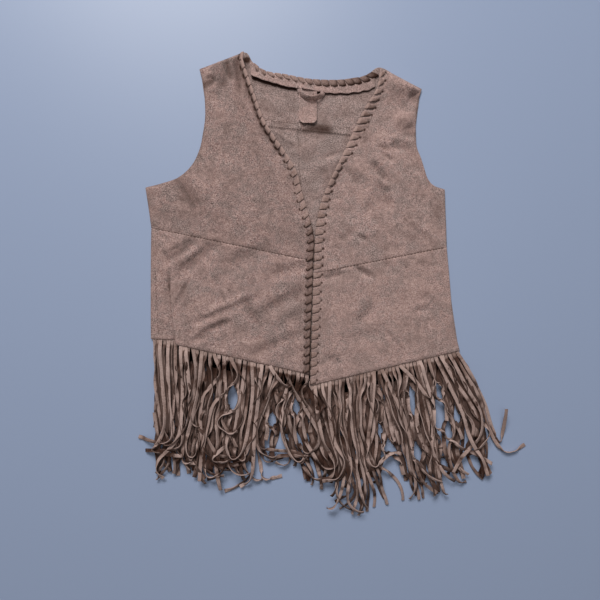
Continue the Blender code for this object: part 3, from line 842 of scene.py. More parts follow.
def front_lower(side):
    table, _, _ = TABLES[side]
    t = rows_evenly(table, (), 1.9)
    ends, edge, high = row_values(table, t, ())
    length = np.linalg.norm(edge - ends, axis=1)
    along = (edge - ends) / length[:, None]
    n_in, n_edge, zone = columns()
    lift = np.zeros((len(t), 1))
    if side == "right":
        tuck = hermite([tuple(r) for r in TUCK], t)
        place_, over, tall = tuck[:, 0], np.maximum(tuck[:, 1], 0), np.maximum(tuck[:, 2], 0)
        k = smooth(over / 6.0)[:, None]
        # strip, fold and main part of each row: distance from the side and rise
        strip = np.linspace(0, 1, 20, endpoint=False)
        p = np.linspace(0, 1, 19)
        knots = np.array([0.0, 0.30, 0.36, 0.62, 0.70, 0.78, 0.86, 1.0])
        reach = np.array([-3.0, 1.0, 1.06, 0.12, 0.0, -0.03, 0.0, 0.35])
        rise = np.array([0.0, 0.02, 0.08, 0.12, 0.28, 0.60, 0.90, 1.0])
        s_dist = np.interp(p, knots[1:], reach[1:])[None, :] * over[:, None]
        first = p < knots[1]
        s_dist[:, first] = (
            -4.0 * (1 - p[first] / knots[1])[None, :]
            + (p[first] / knots[1])[None, :] * over[:, None]
        )
        s_rise = np.interp(p, knots, rise)
        l_dist = -4.0 + 10.0 * p[None, :]
        fold_d = place_[:, None] + (1 - k) * l_dist + k * s_dist
        fold_z = tall[:, None] * ((1 - k) * smooth(p)[None, :] + k * s_rise[None, :])
        strip_d = strip[None, :] * fold_d[:, :1]
        start = fold_d[:, -1:]
        main = np.linspace(0, 1, 84)[1:][None, :]
        last = length[:, None]
        main_d = start + (last - zone - start) * main
        edge_d = last - zone + zone * np.linspace(0, 1, n_edge)[1:][None, :]
        dist = np.concatenate([strip_d, fold_d, main_d, edge_d], 1)
        rise_all = np.concatenate(
            [
                np.zeros_like(strip_d),
                fold_z,
                tall[:, None] * np.exp(-((main_d - start) / 55.0)),
                np.zeros_like(edge_d),
            ],
            1,
        )
        # the strip's own hem lies level
        level = np.concatenate(
            [
                strip_d * 0.17,
                np.linspace(1, 0, len(p))[None, :] ** 0.7 * place_[:, None] * 0.17,
                np.zeros_like(main_d),
                np.zeros_like(edge_d),
            ],
            1,
        )
        level = level * smooth(1 - t / 3.0)[:, None]
    else:
        main_d = (length[:, None] - zone) * np.linspace(0, 1, n_in, endpoint=False)[None, :]
        edge_d = length[:, None] - zone + zone * np.linspace(0, 1, n_edge)[None, :]
        dist = np.concatenate([main_d, edge_d], 1)
        rise_all = np.zeros_like(dist)
        level = np.zeros_like(dist)
    share = dist / length[:, None]
    x = ends[:, None, 0] + along[:, None, 0] * dist
    y = ends[:, None, 1] + along[:, None, 1] * dist + level
    a, b, c = (high[:, None, k] for k in range(3))
    z = a * (1 - share) * (1 - 2 * share) + 4 * b * share * (1 - share)
    z = z + c * share * (2 * share - 1) + SUEDE
    pace = np.concatenate([[0], np.cumsum(np.linalg.norm(np.diff(ends, axis=0), axis=1))])
    d_hem = np.repeat(pace[:, None], dist.shape[1], 1)
    d_seam = np.repeat((pace[-1] - pace)[:, None], dist.shape[1], 1)
    z, wear = finish_front(side, x, y, z, d_seam, d_hem, dist)
    z = z + rise_all
    if side == "right":
        n = strip_d.shape[1]
        depth = smooth(tall / 2.5)[:, None]
        short = place_[:, None] - dist[:, :n]
        # painted shade in the tuck's crevice and on the fold's hidden face, a painted highlight beside the fold;
        # the strip is paler in its first rows at the hem
        wear[:, :n] -= depth * 0.14 * np.exp(-short / 9.0)
        wear[:, n : n + 4] -= depth * np.array([0.14, 0.2, 0.45, 0.7])
        wear[:, n + 4 : n + 13] -= 0.7 * depth
        wear[:, n + 13 : n + 15] -= 0.25 * depth
        wear[:, n + 17 : n + 23] += 0.2 * depth
        wear[:3, :n] += 0.35
    return np.stack([x, y, z], 2), wear


# how much paler or darker each cut is painted, standing in for how the light falls on its nap
CUT_SHADE = {
    "front_upper_right": -0.15,
    "front_lower_right": -0.06,
    "front_upper_left": 0.03,
    "front_lower_left": 0.19,
}
FRONTS = {}
pieces = {}
for side in ("right", "left"):
    for level, build in (("upper", front_upper), ("lower", front_lower)):
        grid, wear = build(side)
        name = f"front_{level}_{side}"
        FRONTS[name] = grid
        pieces[name] = shell(name + "_suede", grid, SUEDE, panel_suede, wear + CUT_SHADE[name])


def height_of(grid, x, y):
    """The height of the nearest point of a grid."""
    d = (grid[..., 0] - x) ** 2 + (grid[..., 1] - y) ** 2
    return float(grid[..., 2].ravel()[np.argmin(d)])


# ---- back panels ---------------------------------------------------------------------------
def flat_grid(table, start, end, step, count, corners=()):
    a = [(getattr(r, start + "_x"), getattr(r, start + "_y")) for r in table]
    b = [(getattr(r, end + "_x"), getattr(r, end + "_y")) for r in table]
    t = np.linspace(0, len(table) - 1, 1200)
    pa, pb = hermite(a, t, corners), hermite(b, t, corners)
    pace = np.maximum(
        np.linalg.norm(np.diff(pa, axis=0), axis=1), np.linalg.norm(np.diff(pb, axis=0), axis=1)
    )
    along = np.concatenate([[0], np.cumsum(pace)])
    t = np.interp(np.linspace(0, along[-1], int(along[-1] / step) + 1), along, t)
    pa, pb = hermite(a, t, corners), hermite(b, t, corners)
    share = np.linspace(0, 1, count)
    x = pa[:, None, 0] + (pb - pa)[:, None, 0] * share
    y = pa[:, None, 1] + (pb - pa)[:, None, 1] * share
    return x, y


SEAM_A, SEAM_B = np.array([-209.6, 285.8]), np.array([141.2, 251.8])
FACING_X, FACING_Y = flat_grid(FACING, "top", "cut", 1.6, 16)
RAGGED = swell(FACING_X, FACING_Y, waves(8, 8, 10.0, 34.0))
FACING_Y = FACING_Y + np.linspace(0, 1, 16)[None, :] ** 4 * 1.1 * RAGGED
HOLLOW = at(247.0, 58.8, 4)  # where the inside of the corner at the neck point is painted dark, as shade


def neck_corner_shade(x, y):
    # painted shade in the corner at the neck point, weaker below it
    near = ((x - HOLLOW[0]) / 7.0) ** 2 + ((y - HOLLOW[1]) / 5.8) ** 2
    below = ((x - HOLLOW[0]) / 6.0) ** 2 + ((y - HOLLOW[1] + 9) / 11.0) ** 2
    return np.exp(-(near**2)) + 0.32 * np.exp(-(below**2))


def back_height(x, y):
    run = (SEAM_B - SEAM_A) / np.linalg.norm(SEAM_B - SEAM_A)
    off = (x - SEAM_A[0]) * -run[1] + (y - SEAM_A[1]) * run[0]  # above the yoke seam
    high, fold_shade = folded(x, y, BACK_FOLDS)
    seen = smooth((y - 80) / 60.0)
    z = SUEDE + np.maximum(0, seen * (high + 0.5 * swell(x, y, WIDE) + 0.25 * swell(x, y, FINE)))
    allowance = smooth((off + 13.5) / 1.2) * smooth((0.6 - off) / 1.2)
    z = z + 0.9 * allowance
    centre = -44.0 - (y + 102.8) * (12.4 / 373.4)
    d = np.abs(x - centre)
    ridge = seen * smooth(-off / 8.0)
    z = z + ridge * 0.5 * np.exp(-((d / 5.0) ** 2)) - ridge * 0.5 * np.exp(-((d / 1.0) ** 2))
    # painted shade in the back's creases and painted highlights on its ridges, a dark line along the yoke seam,
    # and painted shade below the edge of its allowance and in the centre back seam's groove
    wear = -seen * fold_shade - 0.30 * np.exp(-((off / 1.1) ** 2))
    wear = wear - 0.22 * np.exp(-(((off + 13.5) / 1.2) ** 2))
    wear = wear - 0.12 * ridge * np.exp(-((d / 1.4) ** 2))
    # painted shadow under the facing's cut edge, and painted shade in the neck corner and beside the fronts' edges
    below = np.interp(x, FACING_X[:, -1], FACING_Y[:, -1]) - y
    across = smooth((x - FACING_X[0, -1]) / 2.0) * smooth((FACING_X[-1, -1] - x) / 2.0)
    deep = np.interp(x, [-130, -60, 0, 70], [3.4, 2.4, 1.6, 1.5])
    wear = wear - across * smooth((below + 4) / 2.0) * smooth((deep + 1.0 - below) / 1.6)
    soft = np.interp(x, [-130, -60, 0], [0.5, 0.2, 0.05])
    wear = wear - across * soft * smooth((below + 4) / 2.0) * np.exp(-np.maximum(below, 0) / 8.0)
    wear = wear - 0.95 * neck_corner_shade(x, y)
    for side in ("right", "left"):
        d_edge, share = near_edge(side, x, y)
        wear = wear - 0.14 * smooth((share - 0.48) / 0.05) * np.exp(-((d_edge / 2.6) ** 2))
    return z, wear


for name, table, ends, count, corner in (
    ("back_right", BACK_RIGHT, ("side", "centre"), 90, (3,)),
    ("back_left", BACK_LEFT, ("side", "centre"), 90, (3,)),
    ("back_yoke", YOKE, ("seam", "top"), 92, ()),
):
    x, y = flat_grid(table, *ends, 2.4, count, corner)
    z, wear = back_height(x, y)
    pieces[name] = shell(
        name + "_suede", np.stack([x, y, z], 2), SUEDE, back_suede, wear, flat_at=0.0
    )

# ---- facing at the back neck ---------------------------------------------------------------
neck_t = np.linspace(0, len(FACING) - 1, 900)
neck, neck_s = evenly(hermite([(r.top_x, r.top_y) for r in FACING], neck_t), step=1.0)
neck_run = np.gradient(neck, axis=0)
neck_run /= np.linalg.norm(neck_run, axis=1)[:, None]
neck_in = np.stack([neck_run[:, 1], -neck_run[:, 0]], 1)
NeckStitch = namedtuple("NeckStitch", "share hole cross run inward wide far")
NECK_STITCHES = []
r = np.random.default_rng(23)
s = 19.0
while s < neck_s[-1] - 4:
    share = s / neck_s[-1]
    inset = np.interp(share, [0, 0.1, 0.45, 0.58, 1.0], [6.0, 6.0, 8.0, 10.6, 10.6])
    wide = np.interp(share, [0, 0.40, 0.58, 1.0], [9.6, 10.4, 12.4, 12.6])
    slant = np.interp(share, [0, 0.45, 0.6, 0.85, 1.0], [6.0, 7.0, 3.4, 5.0, 7.5]) * r.uniform(0.85, 1.15)
    get = lambda grid, q: np.array([np.interp(q, neck_s, grid[:, k]) for k in (0, 1)])
    inward = get(neck_in, s)
    hole = get(neck, np.clip(s + slant / 2, 0, neck_s[-1])) + inward * inset
    cross = get(neck, np.clip(s - slant / 2, 0, neck_s[-1]))
    far = float(smooth((share - 0.42) / 0.14))
    NECK_STITCHES.append(NeckStitch(share, hole, cross, get(neck_run, s), inward, wide, far))
    s += 13.2 * r.uniform(0.95, 1.05)

x, y = FACING_X, FACING_Y
share = np.linspace(0, 1, 16)[None, :]
lift = 0.3 + share**1.6 * np.interp(x, [-130, -60, -20, 10, 70], [3.4, 2.6, 2.0, 1.0, 0.9]) + 0.3 * share * RAGGED
z = SUEDE + 0.4 + THONG + lift
# a thin line of painted shade at the facing's cut edge, paler towards that edge, and painted shade in the neck
# corner
wear = -0.15 * np.exp(-(((share - 1) / 0.05) ** 2)) * np.ones_like(x) + 0.14 * share
wear = wear - 0.95 * neck_corner_shade(x, y)
for st in NECK_STITCHES:
    way = (st.cross - st.hole) / np.linalg.norm(st.cross - st.hole)
    ahead = way * (1 - st.far) + st.run * st.far
    ahead = ahead / np.linalg.norm(ahead)
    along = (x - st.hole[0]) * ahead[0] + (y - st.hole[1]) * ahead[1]
    off = (x - st.hole[0]) * -ahead[1] + (y - st.hole[1]) * ahead[0]
    # a dent and a painted dark dot for the shade of each hole
    q = (along / 3.2) ** 2 + (off / 1.5) ** 2
    z = z - 0.5 * np.exp(-q)
    wear = wear - np.minimum(1.1, 1.6 * np.exp(-q))
facing_grid = np.stack([x, y, z], 2)
pieces["back_neck_facing"] = shell("back_neck_facing_suede", facing_grid, THONG, panel_suede, wear)


# ---- strips swept along a path -----------------------------------------------------------------
def sweep(path, width_dir, width, wall, crown=0.0, shape=8):
    """Rings of a flat strip along a path; width_dir is across it at each point."""
    path, across = np.asarray(path, float), np.asarray(width_dir, float)
    run = np.gradient(path, axis=0)
    run /= np.maximum(np.linalg.norm(run, axis=1, keepdims=True), 1e-9)
    across = across - (across * run).sum(1, keepdims=True) * run
    across /= np.maximum(np.linalg.norm(across, axis=1, keepdims=True), 1e-9)
    out = np.cross(run, across)
    width = np.broadcast_to(np.asarray(width, float), (len(path),))
    c = min(0.35, wall * 0.3)
    profile = [
        (-0.5, -1, 1),
        (0.5, -1, 1),
        (0.5, -1, 0),
        (0.5, 1, 0),
        (0.5, 1, 1),
        (0.0, 1, 2),
        (-0.5, 1, 1),
        (-0.5, 1, 0),
        (-0.5, -1, 0),
    ]
    rings = []
    for w, h, kind in profile:
        inset = c if kind == 1 else 0.0
        drop = c if kind == 0 else 0.0
        side = np.sign(w) * (abs(w) * width - inset)
        up = h * (wall / 2 - drop) + (crown if kind == 2 else 0.0)
        rings.append(path + across * side[:, None] + out * up)
    return np.stack(rings, 1)


def sweep_faces(rings_shape, first):
    n, m = rings_shape
    i, j = np.meshgrid(np.arange(n - 1), np.arange(m), indexing="ij")
    a = first + i * m + j
    b = first + i * m + (j + 1) % m
    faces = np.stack([a, b, b + m, a + m], -1).reshape(-1, 4).tolist()
    faces.append([first + k for k in range(m)])
    faces.append([first + (n - 1) * m + k for k in range(m - 1, -1, -1)])
    return faces


class Bundle:
    """Collects strips into one mesh."""

    def __init__(self):
        self.verts, self.faces, self.count = [], [], 0
        self.data = {}

    def add(self, rings, **values):
        n, m = rings.shape[:2]
        self.verts.append(rings.reshape(-1, 3))
        self.faces += sweep_faces((n, m), self.count)
        self.count += n * m
        for key, value in values.items():
            value = np.broadcast_to(np.asarray(value, float), (n, m)).ravel()
            self.data.setdefault(key, []).append(value)

    def build(self, name, material, sharp=60):
        data = {k: np.concatenate(v) for k, v in self.data.items()}
        return make(name, np.concatenate(self.verts), self.faces, material, data, sharp)


# ---- lacing ---------------------------------------------------------------------------------------
def thong_over(hole, cross, inward, z_hole, z_edge, wall_below, width, pinch, shade, line=1.0, deep=0.95, wrap=0.0, pale=0.0):
    """A flat thong from its hole over an edge to the far side, and its painted shade: dark on the side in its own
    shadow and where it goes into its hole, with a painted highlight on its other side, and painted shade where it
    wraps the edge, or a painted highlight where wrap is below 0.

    shade points to the side of the thong that lies in its own shadow."""
    to = cross - hole
    steps = [
        # share of the way from hole to edge, height above the panel
        (0.00, -1.7),
        (0.04, -0.4),
        (0.12, 0.50),
        (0.26, 0.86),
        (0.50, 0.92),
        (0.80, 0.86),
        (0.96, 0.74),
    ]
    side = np.array([-to[1], to[0], 0.0]) / max(np.linalg.norm(to), 1e-6)
    path = [[*(hole + to * q), z_hole + (z_edge - z_hole) * q + up] for q, up in steps]
    for angle in (58, 22, -14, -52, -82):
        a = math.radians(angle)
        p = cross - inward * 0.7 * math.cos(a)
        path.append([*p, z_edge - wall_below / 2 + (wall_below / 2 + 0.74) * math.sin(a)])
    path.append([*(cross + inward * 4.0), z_edge - wall_below - 0.74])
    path = np.array(path)
    path[:, 2] = np.maximum(path[:, 2], 0.65)
    fine, s = evenly(path, count=24)
    reach = s / max(np.linalg.norm(to), 1e-6)
    wide = width * (pinch + (1 - pinch) * np.clip(reach, 0, 1))
    half = wide / 2
    run = np.gradient(fine, axis=0)
    run /= np.maximum(np.linalg.norm(run, axis=1, keepdims=True), 1e-9)
    edge_run = np.array([-inward[1], inward[0], 0.0]) / np.linalg.norm(inward)
    edge_run *= np.sign(edge_run @ side)
    side = edge_run
    across = np.repeat([side], len(fine), 0)
    out = np.cross(run, across)
    out /= np.maximum(np.linalg.norm(out, axis=1, keepdims=True), 1e-9)
    out *= np.sign(out[8, 2])
    h, c = THONG / 2, 0.22
    profile = [
        (-1, -c, -h), (1, -c, -h), (1, 0, -h + c), (1, 0, h - c), (1, -c, h), (1, -line, h + 0.06),
        (0, 0, h + 0.1), (-1, -line, h + 0.06), (-1, -c, h), (-1, 0, h - c), (-1, 0, -h + c),
    ]  # fmt: skip
    rings = np.stack(
        [fine + across * (q * (half + inset))[:, None] + out * up for q, inset, up in profile], 1
    )
    rings[..., 2] = np.maximum(rings[..., 2], 0.0)
    # painted shadow on its shaded side, a painted highlight on the other, painted shade at its hole and where it
    # wraps the edge
    dark = np.zeros(rings.shape[:2])
    low, high = ([2, 3, 4], [7, 8]) if side[:2] @ shade > 0 else ([8, 9, 10], [4, 5])
    dark[:, low] -= deep
    dark[:, 5 if low[0] == 2 else 7] -= 0.45 * deep * min(1.0, line / 2.4)
    dark[:, high] += pale
    dark -= (0.8 * np.exp(-((reach / 0.10) ** 2)) + 0.18 * np.exp(-((reach / 0.5) ** 2)))[:, None]
    dark -= wrap * smooth((reach - (1.02 if wrap > 0 else 0.78)) / (0.12 if wrap > 0 else 0.2))[:, None]
    return rings, np.maximum(dark, -1)


for side in ("right", "left"):
    lower, upper = FRONTS[f"front_lower_{side}"], FRONTS[f"front_upper_{side}"]
    both = np.concatenate([lower[:, -34:].reshape(-1, 3), upper[:, -34:].reshape(-1, 3)])
    bundle = Bundle()
    r = np.random.default_rng(21 if side == "right" else 22)
    for st in STITCHES[side]:
        def level(p):
            return both[np.argmin((both[:, 0] - p[0]) ** 2 + (both[:, 1] - p[1]) ** 2), 2]

        z_hole = level(st.hole + (st.cross - st.hole) * 0.3)
        z_edge = level(st.cross + st.inward * 0.8)
        upper = [float(smooth((st.share - q) / 0.05)) for q in (0.44, 0.70, 0.79, 0.87)]
        # wrap paints shade where the fronts meet and a highlight along the V edges; pale paints a highlight on the
        # left front's thongs
        rings, dark = thong_over(
            st.hole,
            st.cross,
            st.inward,
            z_hole,
            z_edge,
            SUEDE,
            st.wide,
            st.pinch,
            np.array([0.0, -1.0]),
            (1.6 - 0.6 * upper[0]) if side == "right" else 1.0,
            (1.0 - 0.25 * upper[0]) if side == "right" else 0.8 - 0.3 * upper[1],
            1.3 * float(meeting_shade(st.share)) * r.uniform(0.5, 1.1) - 0.55 * float(smooth((st.share - 0.5) / 0.05))
            - 0.5 * float(smooth((st.share - 0.62) / 0.05)),
            0.0 if side == "right" else 0.3,
        )
        # painted shade on the thongs' faces: darker near the hem on the right front, and in bands on the left
        # front
        thong_shade = 0.03 + 0.1 * upper[0] - 0.42 * float(smooth((0.46 - st.share) / 0.05))
        if side == "left":
            high, mid, low = (at(px, py, 5)[1] for px, py in ((376, 101), (368, 119), (350, 150)))
            y = st.hole[1]
            thong_shade = -0.05 - 0.5 * float(smooth((y - mid + 3) / 6) * smooth((high + 3 - y) / 6))
            thong_shade -= 0.16 * float(smooth((y - low) / 12) * smooth((mid + 3 - y) / 6))
            thong_shade -= 0.12 * float(smooth((y - high) / 6))
        bundle.add(rings, wear=dark + thong_shade + r.uniform(-0.05, 0.05))
    pieces[f"lace_front_{side}"] = bundle.build(f"lace_front_{side}_thong", lace_suede)

bundle = Bundle()
r = np.random.default_rng(24)
flat_facing = facing_grid.reshape(-1, 3)
for st in NECK_STITCHES:
    z = flat_facing[np.argmin(((flat_facing[:, :2] - st.cross) ** 2).sum(1)), 2]
    spot = st.hole + (st.cross - st.hole) * 0.35
    z_hole = flat_facing[np.argmin(((flat_facing[:, :2] - spot) ** 2).sum(1)), 2]
    rings, dark = thong_over(
        st.hole,
        st.cross,
        st.inward,
        z_hole,
        z,
        SUEDE + THONG + 0.6,
        st.wide,
        0.75 + 0.2 * st.far,
        np.array([1.0, 0.0]),
        0.7 + 0.8 * st.far,
        0.5 + 0.5 * st.far,
    )
    # painted shade towards each thong's hole; tint makes the thongs paler at the neck's left end and darker
    # towards its right end, darkest at the last one, in the shade of the corner
    dark = dark - st.far * 0.45 * smooth((0.5 - np.linspace(0, 1, len(dark))) / 0.5)[:, None]
    tint = np.interp(st.share, [0, 0.45, 0.6, 0.9, 0.96], [0.10, 0.05, -0.22, -0.32, -0.6])
    bundle.add(rings, wear=dark + tint + r.uniform(-0.06, 0.06))
pieces["lace_back_neck"] = bundle.build("lace_back_neck_thong", lace_suede)

# ---- tab and hang loop ------------------------------------------------------------------------------
TAB_LEFT, TAB_RIGHT, TAB_TOP, TAB_BOTTOM, TAB_RADIUS = -54.7, -24.8, 331.0, 269.5, 8.0
v = np.concatenate([1 - np.cos(np.linspace(0, np.pi / 2, 10)), [0]])[:10]
ys = np.concatenate([TAB_BOTTOM + TAB_RADIUS * v, np.linspace(TAB_BOTTOM + 10, TAB_TOP, 22)])
inset = np.concatenate(
    [TAB_RADIUS * (1 - np.sin(np.linspace(0.04, np.pi / 2, 10))), np.zeros(22)]
)
u = np.linspace(0, 1, 18)
x = (TAB_LEFT + inset)[:, None] + (TAB_RIGHT - TAB_LEFT - 2 * inset)[:, None] * u
y = np.repeat(ys[:, None], 18, 1)
z = SUEDE + 0.5 + THONG + 0.5 * swell(x, y, FINE)
z = z + 2.6 * smooth((300 - y) / 34) ** 2 + 1.0 * (2 * u - 1) ** 2
rim = np.minimum(np.minimum(u, 1 - u) * 30, (y - TAB_BOTTOM))
# a painted dark outline at the tab's rim; the tab is also paler overall
wear = -0.12 * np.exp(-((rim / 1.2) ** 2)) + 0.20
tab_grid = np.stack([x, y, z], 2)
pieces["neck_tab"] = shell("neck_tab_suede", tab_grid, THONG, panel_suede, wear)

LoopRow = namedtuple("LoopRow", "px py z lean")
LOOP = [
    LoopRow(299.0, 86.0, 4.0, 20),
    LoopRow(299.6, 90.0, 5.2, 35),
    LoopRow(302.0, 94.6, 6.6, 48),
    LoopRow(306.5, 97.8, 7.6, 55),
    LoopRow(311.5, 98.8, 8.0, 58),
    LoopRow(316.5, 98.2, 7.8, 55),
    LoopRow(320.5, 96.2, 6.8, 48),
    LoopRow(322.6, 93.4, 5.4, 35),
    LoopRow(323.0, 90.0, 4.2, 20),
]
line = np.array([[*at(r.px, r.py, 6), r.z] for r in LOOP])
t = np.linspace(0, len(LOOP) - 1, 44)
line = hermite(line, t)
lean = np.radians(hermite([r.lean for r in LOOP], t))
run = np.gradient(line, axis=0)
run[:, 2] = 0
run /= np.linalg.norm(run, axis=1)[:, None]
out = np.stack([run[:, 1], -run[:, 0], np.zeros(len(run))], 1)
across = out * np.cos(lean)[:, None] - np.array([0, 0, 1.0]) * np.sin(lean)[:, None]
bundle = Bundle()
bundle.add(sweep(line, across, LOOP_WIDTH, THONG), wear=0.05)
pieces["hang_loop"] = bundle.build("hang_loop_suede", panel_suede)

# ---- stitches ------------------------------------------------------------------------------------------
threads = Bundle()


def stitch_line(points, pitch, long, rise=0.25, thick=0.7, seed=0):
    r = np.random.default_rng(seed)
    line, s = evenly(points, step=0.5)
    at_s = 2.0
    while at_s + long < s[-1] - 1:
        q = np.linspace(at_s, at_s + long * r.uniform(0.85, 1.1), 5)
        p = np.stack([np.interp(q, s, line[:, k]) for k in range(3)], 1)
        p[:, 2] += rise + np.array([-0.55, 0.0, 0.12, 0.0, -0.55])
        run = p[-1] - p[0]
        across = np.array([-run[1], run[0], 0.0]) + 1e-9
        threads.add(sweep(p, np.repeat([across], 5, 0), thick, thick))
        at_s += pitch * r.uniform(0.92, 1.08)


for side in ("right", "left"):
    grid = FRONTS[f"front_upper_{side}"]
    stitch_line(grid[0, 2:-14], 5.5, 3.2, 0.45, 0.75, 31)
    low = FRONTS[f"front_lower_{side}"]
    start = 44 if side == "right" else 2
    stitch_line(low[0, start:-3], 4.6, 2.8, 0.05, 0.6, 32)
low = FRONTS["front_lower_right"]
stitch_line(low[0, 1:19], 4.6, 2.8, 0.05, 0.6, 33)
strip_line = np.array(
    [
        [*at(px, py, 4), 0.0]
        for px, py in ((155.0, 272), (156.0, 292), (157.6, 316), (158.6, 337))
    ]
)
strip_line, _ = evenly(strip_line, step=4.0)
strip_line[:, 2] = [height_of(low[:, :24], p[0], p[1]) for p in strip_line]
stitch_line(strip_line, 4.4, 3.0, 0.15, 0.65, 34)
for shift in (-2.4, -11.6):
    a, b = SEAM_A + (0, shift), SEAM_B + (0, shift)
    pts = np.array([a + (b - a) * q for q in np.linspace(0.22, 0.76, 90)])
    z, _ = back_height(pts[:, 0], pts[:, 1])
    stitch_line(np.column_stack([pts, z]), 4.6, 3.0, 0.15, 0.6, 35)
stitching = threads.build("seam_stitching", thread)

# ---- fringe ---------------------------------------------------------------------------------------------
# A guide is a strand's way down in pixels: where it leaves the hem, then six points. Strands
# between two guides go between their ways, unless joined is 0.
Guide = namedtuple("Guide", "hem joined a b c d e f")
GUIDES_RIGHT = [
    Guide(152, 1, (154, 370), (157, 400), (159, 425), (166, 446), (164, 462), (157, 474)),
    Guide(160, 1, (162, 370), (165, 400), (167, 425), (171, 446), (172, 465), (163, 482)),
    Guide(170, 1, (171, 370), (173, 400), (174, 425), (176, 446), (180, 465), (172, 482)),
    Guide(177.5, 1, (181, 370), (182, 400), (180, 425), (178, 447), (186, 466), (189, 487)),
    Guide(190, 1, (193, 370), (191, 400), (187, 425), (185, 445), (192, 456), (198, 440)),
    Guide(203, 1, (204, 372), (202, 400), (199, 425), (197, 446), (196, 466), (192, 486)),
    Guide(214, 1, (215, 380), (213, 402), (208, 425), (205, 447), (205, 468), (203, 486)),
    Guide(225, 1, (222, 384), (219, 405), (215, 428), (214, 450), (222, 462), (230, 452)),
    Guide(232, 0, (228, 380), (225, 402), (221, 425), (223, 448), (225, 470), (216, 493)),
    Guide(236, 1, (241, 385), (241, 405), (238, 425), (232, 448), (226, 472), (221, 494)),
    Guide(245, 1, (248, 385), (247, 405), (243, 428), (239, 450), (236, 475), (236, 497)),
    Guide(257, 1, (258, 388), (254, 408), (250, 428), (246, 448), (238, 457), (230, 450)),
    Guide(268, 1, (264, 388), (258, 410), (254, 430), (254, 450), (251, 475), (242, 487)),
    Guide(278, 0, (272, 390), (264, 410), (258, 430), (260, 446), (272, 453), (286, 456)),
    Guide(288, 1, (284, 392), (278, 412), (279, 432), (286, 448), (297, 460), (306, 453)),
    Guide(296, 1, (293, 386), (288, 410), (287, 432), (293, 452), (303, 464), (307, 486)),
    Guide(303, 1, (297, 388), (300, 412), (306, 436), (313, 456), (318, 474), (322, 490)),
    Guide(309, 1, (304, 392), (315, 412), (325, 432), (333, 452), (330, 466), (315, 468)),
]
GUIDES_LEFT = [
    Guide(310, 1, (318, 404), (324, 422), (332, 442), (337, 460), (331, 468), (318, 462)),
    Guide(320, 1, (326, 404), (330, 425), (336, 446), (341, 468), (338, 488), (335, 508)),
    Guide(332, 1, (333, 402), (336, 425), (342, 448), (347, 470), (350, 492), (342, 512)),
    Guide(345, 1, (342, 400), (345, 425), (350, 450), (354, 475), (356, 498), (360, 517)),
    Guide(357, 1, (356, 400), (358, 425), (360, 450), (362, 475), (364, 498), (361, 516)),
    Guide(366, 1, (365, 396), (366, 420), (368, 445), (374, 468), (383, 488), (393, 506)),
    Guide(376, 0, (375, 394), (376, 420), (377, 445), (379, 462), (390, 452), (400, 455)),
    Guide(382, 1, (388, 396), (396, 420), (404, 445), (411, 468), (419, 485), (426, 502)),
    Guide(392, 1, (396, 396), (403, 420), (409, 445), (414, 465), (422, 482), (437, 492)),
    Guide(403, 0, (403, 392), (405, 415), (408, 435), (413, 455), (420, 470), (430, 490)),
    Guide(413, 1, (418, 392), (420, 412), (424, 432), (430, 452), (435, 470), (437, 490)),
    Guide(424, 0, (427, 390), (430, 410), (433, 430), (436, 450), (437, 470), (449, 488)),
    Guide(432, 1, (440, 390), (446, 410), (449, 430), (450, 450), (452, 470), (450, 488)),
    Guide(440, 1, (450, 388), (458, 408), (462, 428), (458, 448), (456, 468), (456, 486)),
    Guide(447, 1, (458, 384), (470, 404), (480, 422), (484, 442), (478, 460), (471, 472)),
    Guide(453, 1, (465, 384), (480, 408), (489, 428), (487, 448), (484, 466), (482, 481)),
    Guide(459, 1, (470, 378), (484, 404), (494, 430), (499, 446), (508, 452), (520, 447)),
]
# Openings in the fringe where the floor shows: centre and half sizes, in pixels.
Gap = namedtuple("Gap", "x y half_wide half_tall")
GAPS = [
    Gap(233, 397, 5.0, 13),
    Gap(272, 419, 4.0, 8),
    Gap(296, 407, 3.6, 8),
    Gap(412, 401, 3.4, 14),
    Gap(438, 391, 2.8, 10),
    Gap(439, 417, 5.0, 20),
    Gap(448, 431, 3.2, 10),
    Gap(380, 430, 2.6, 8),
    Gap(389, 447, 6.0, 6),
    Gap(392, 464, 8.0, 7),
    Gap(417, 451, 4.6, 9),
    Gap(457, 417, 4.0, 6),
]
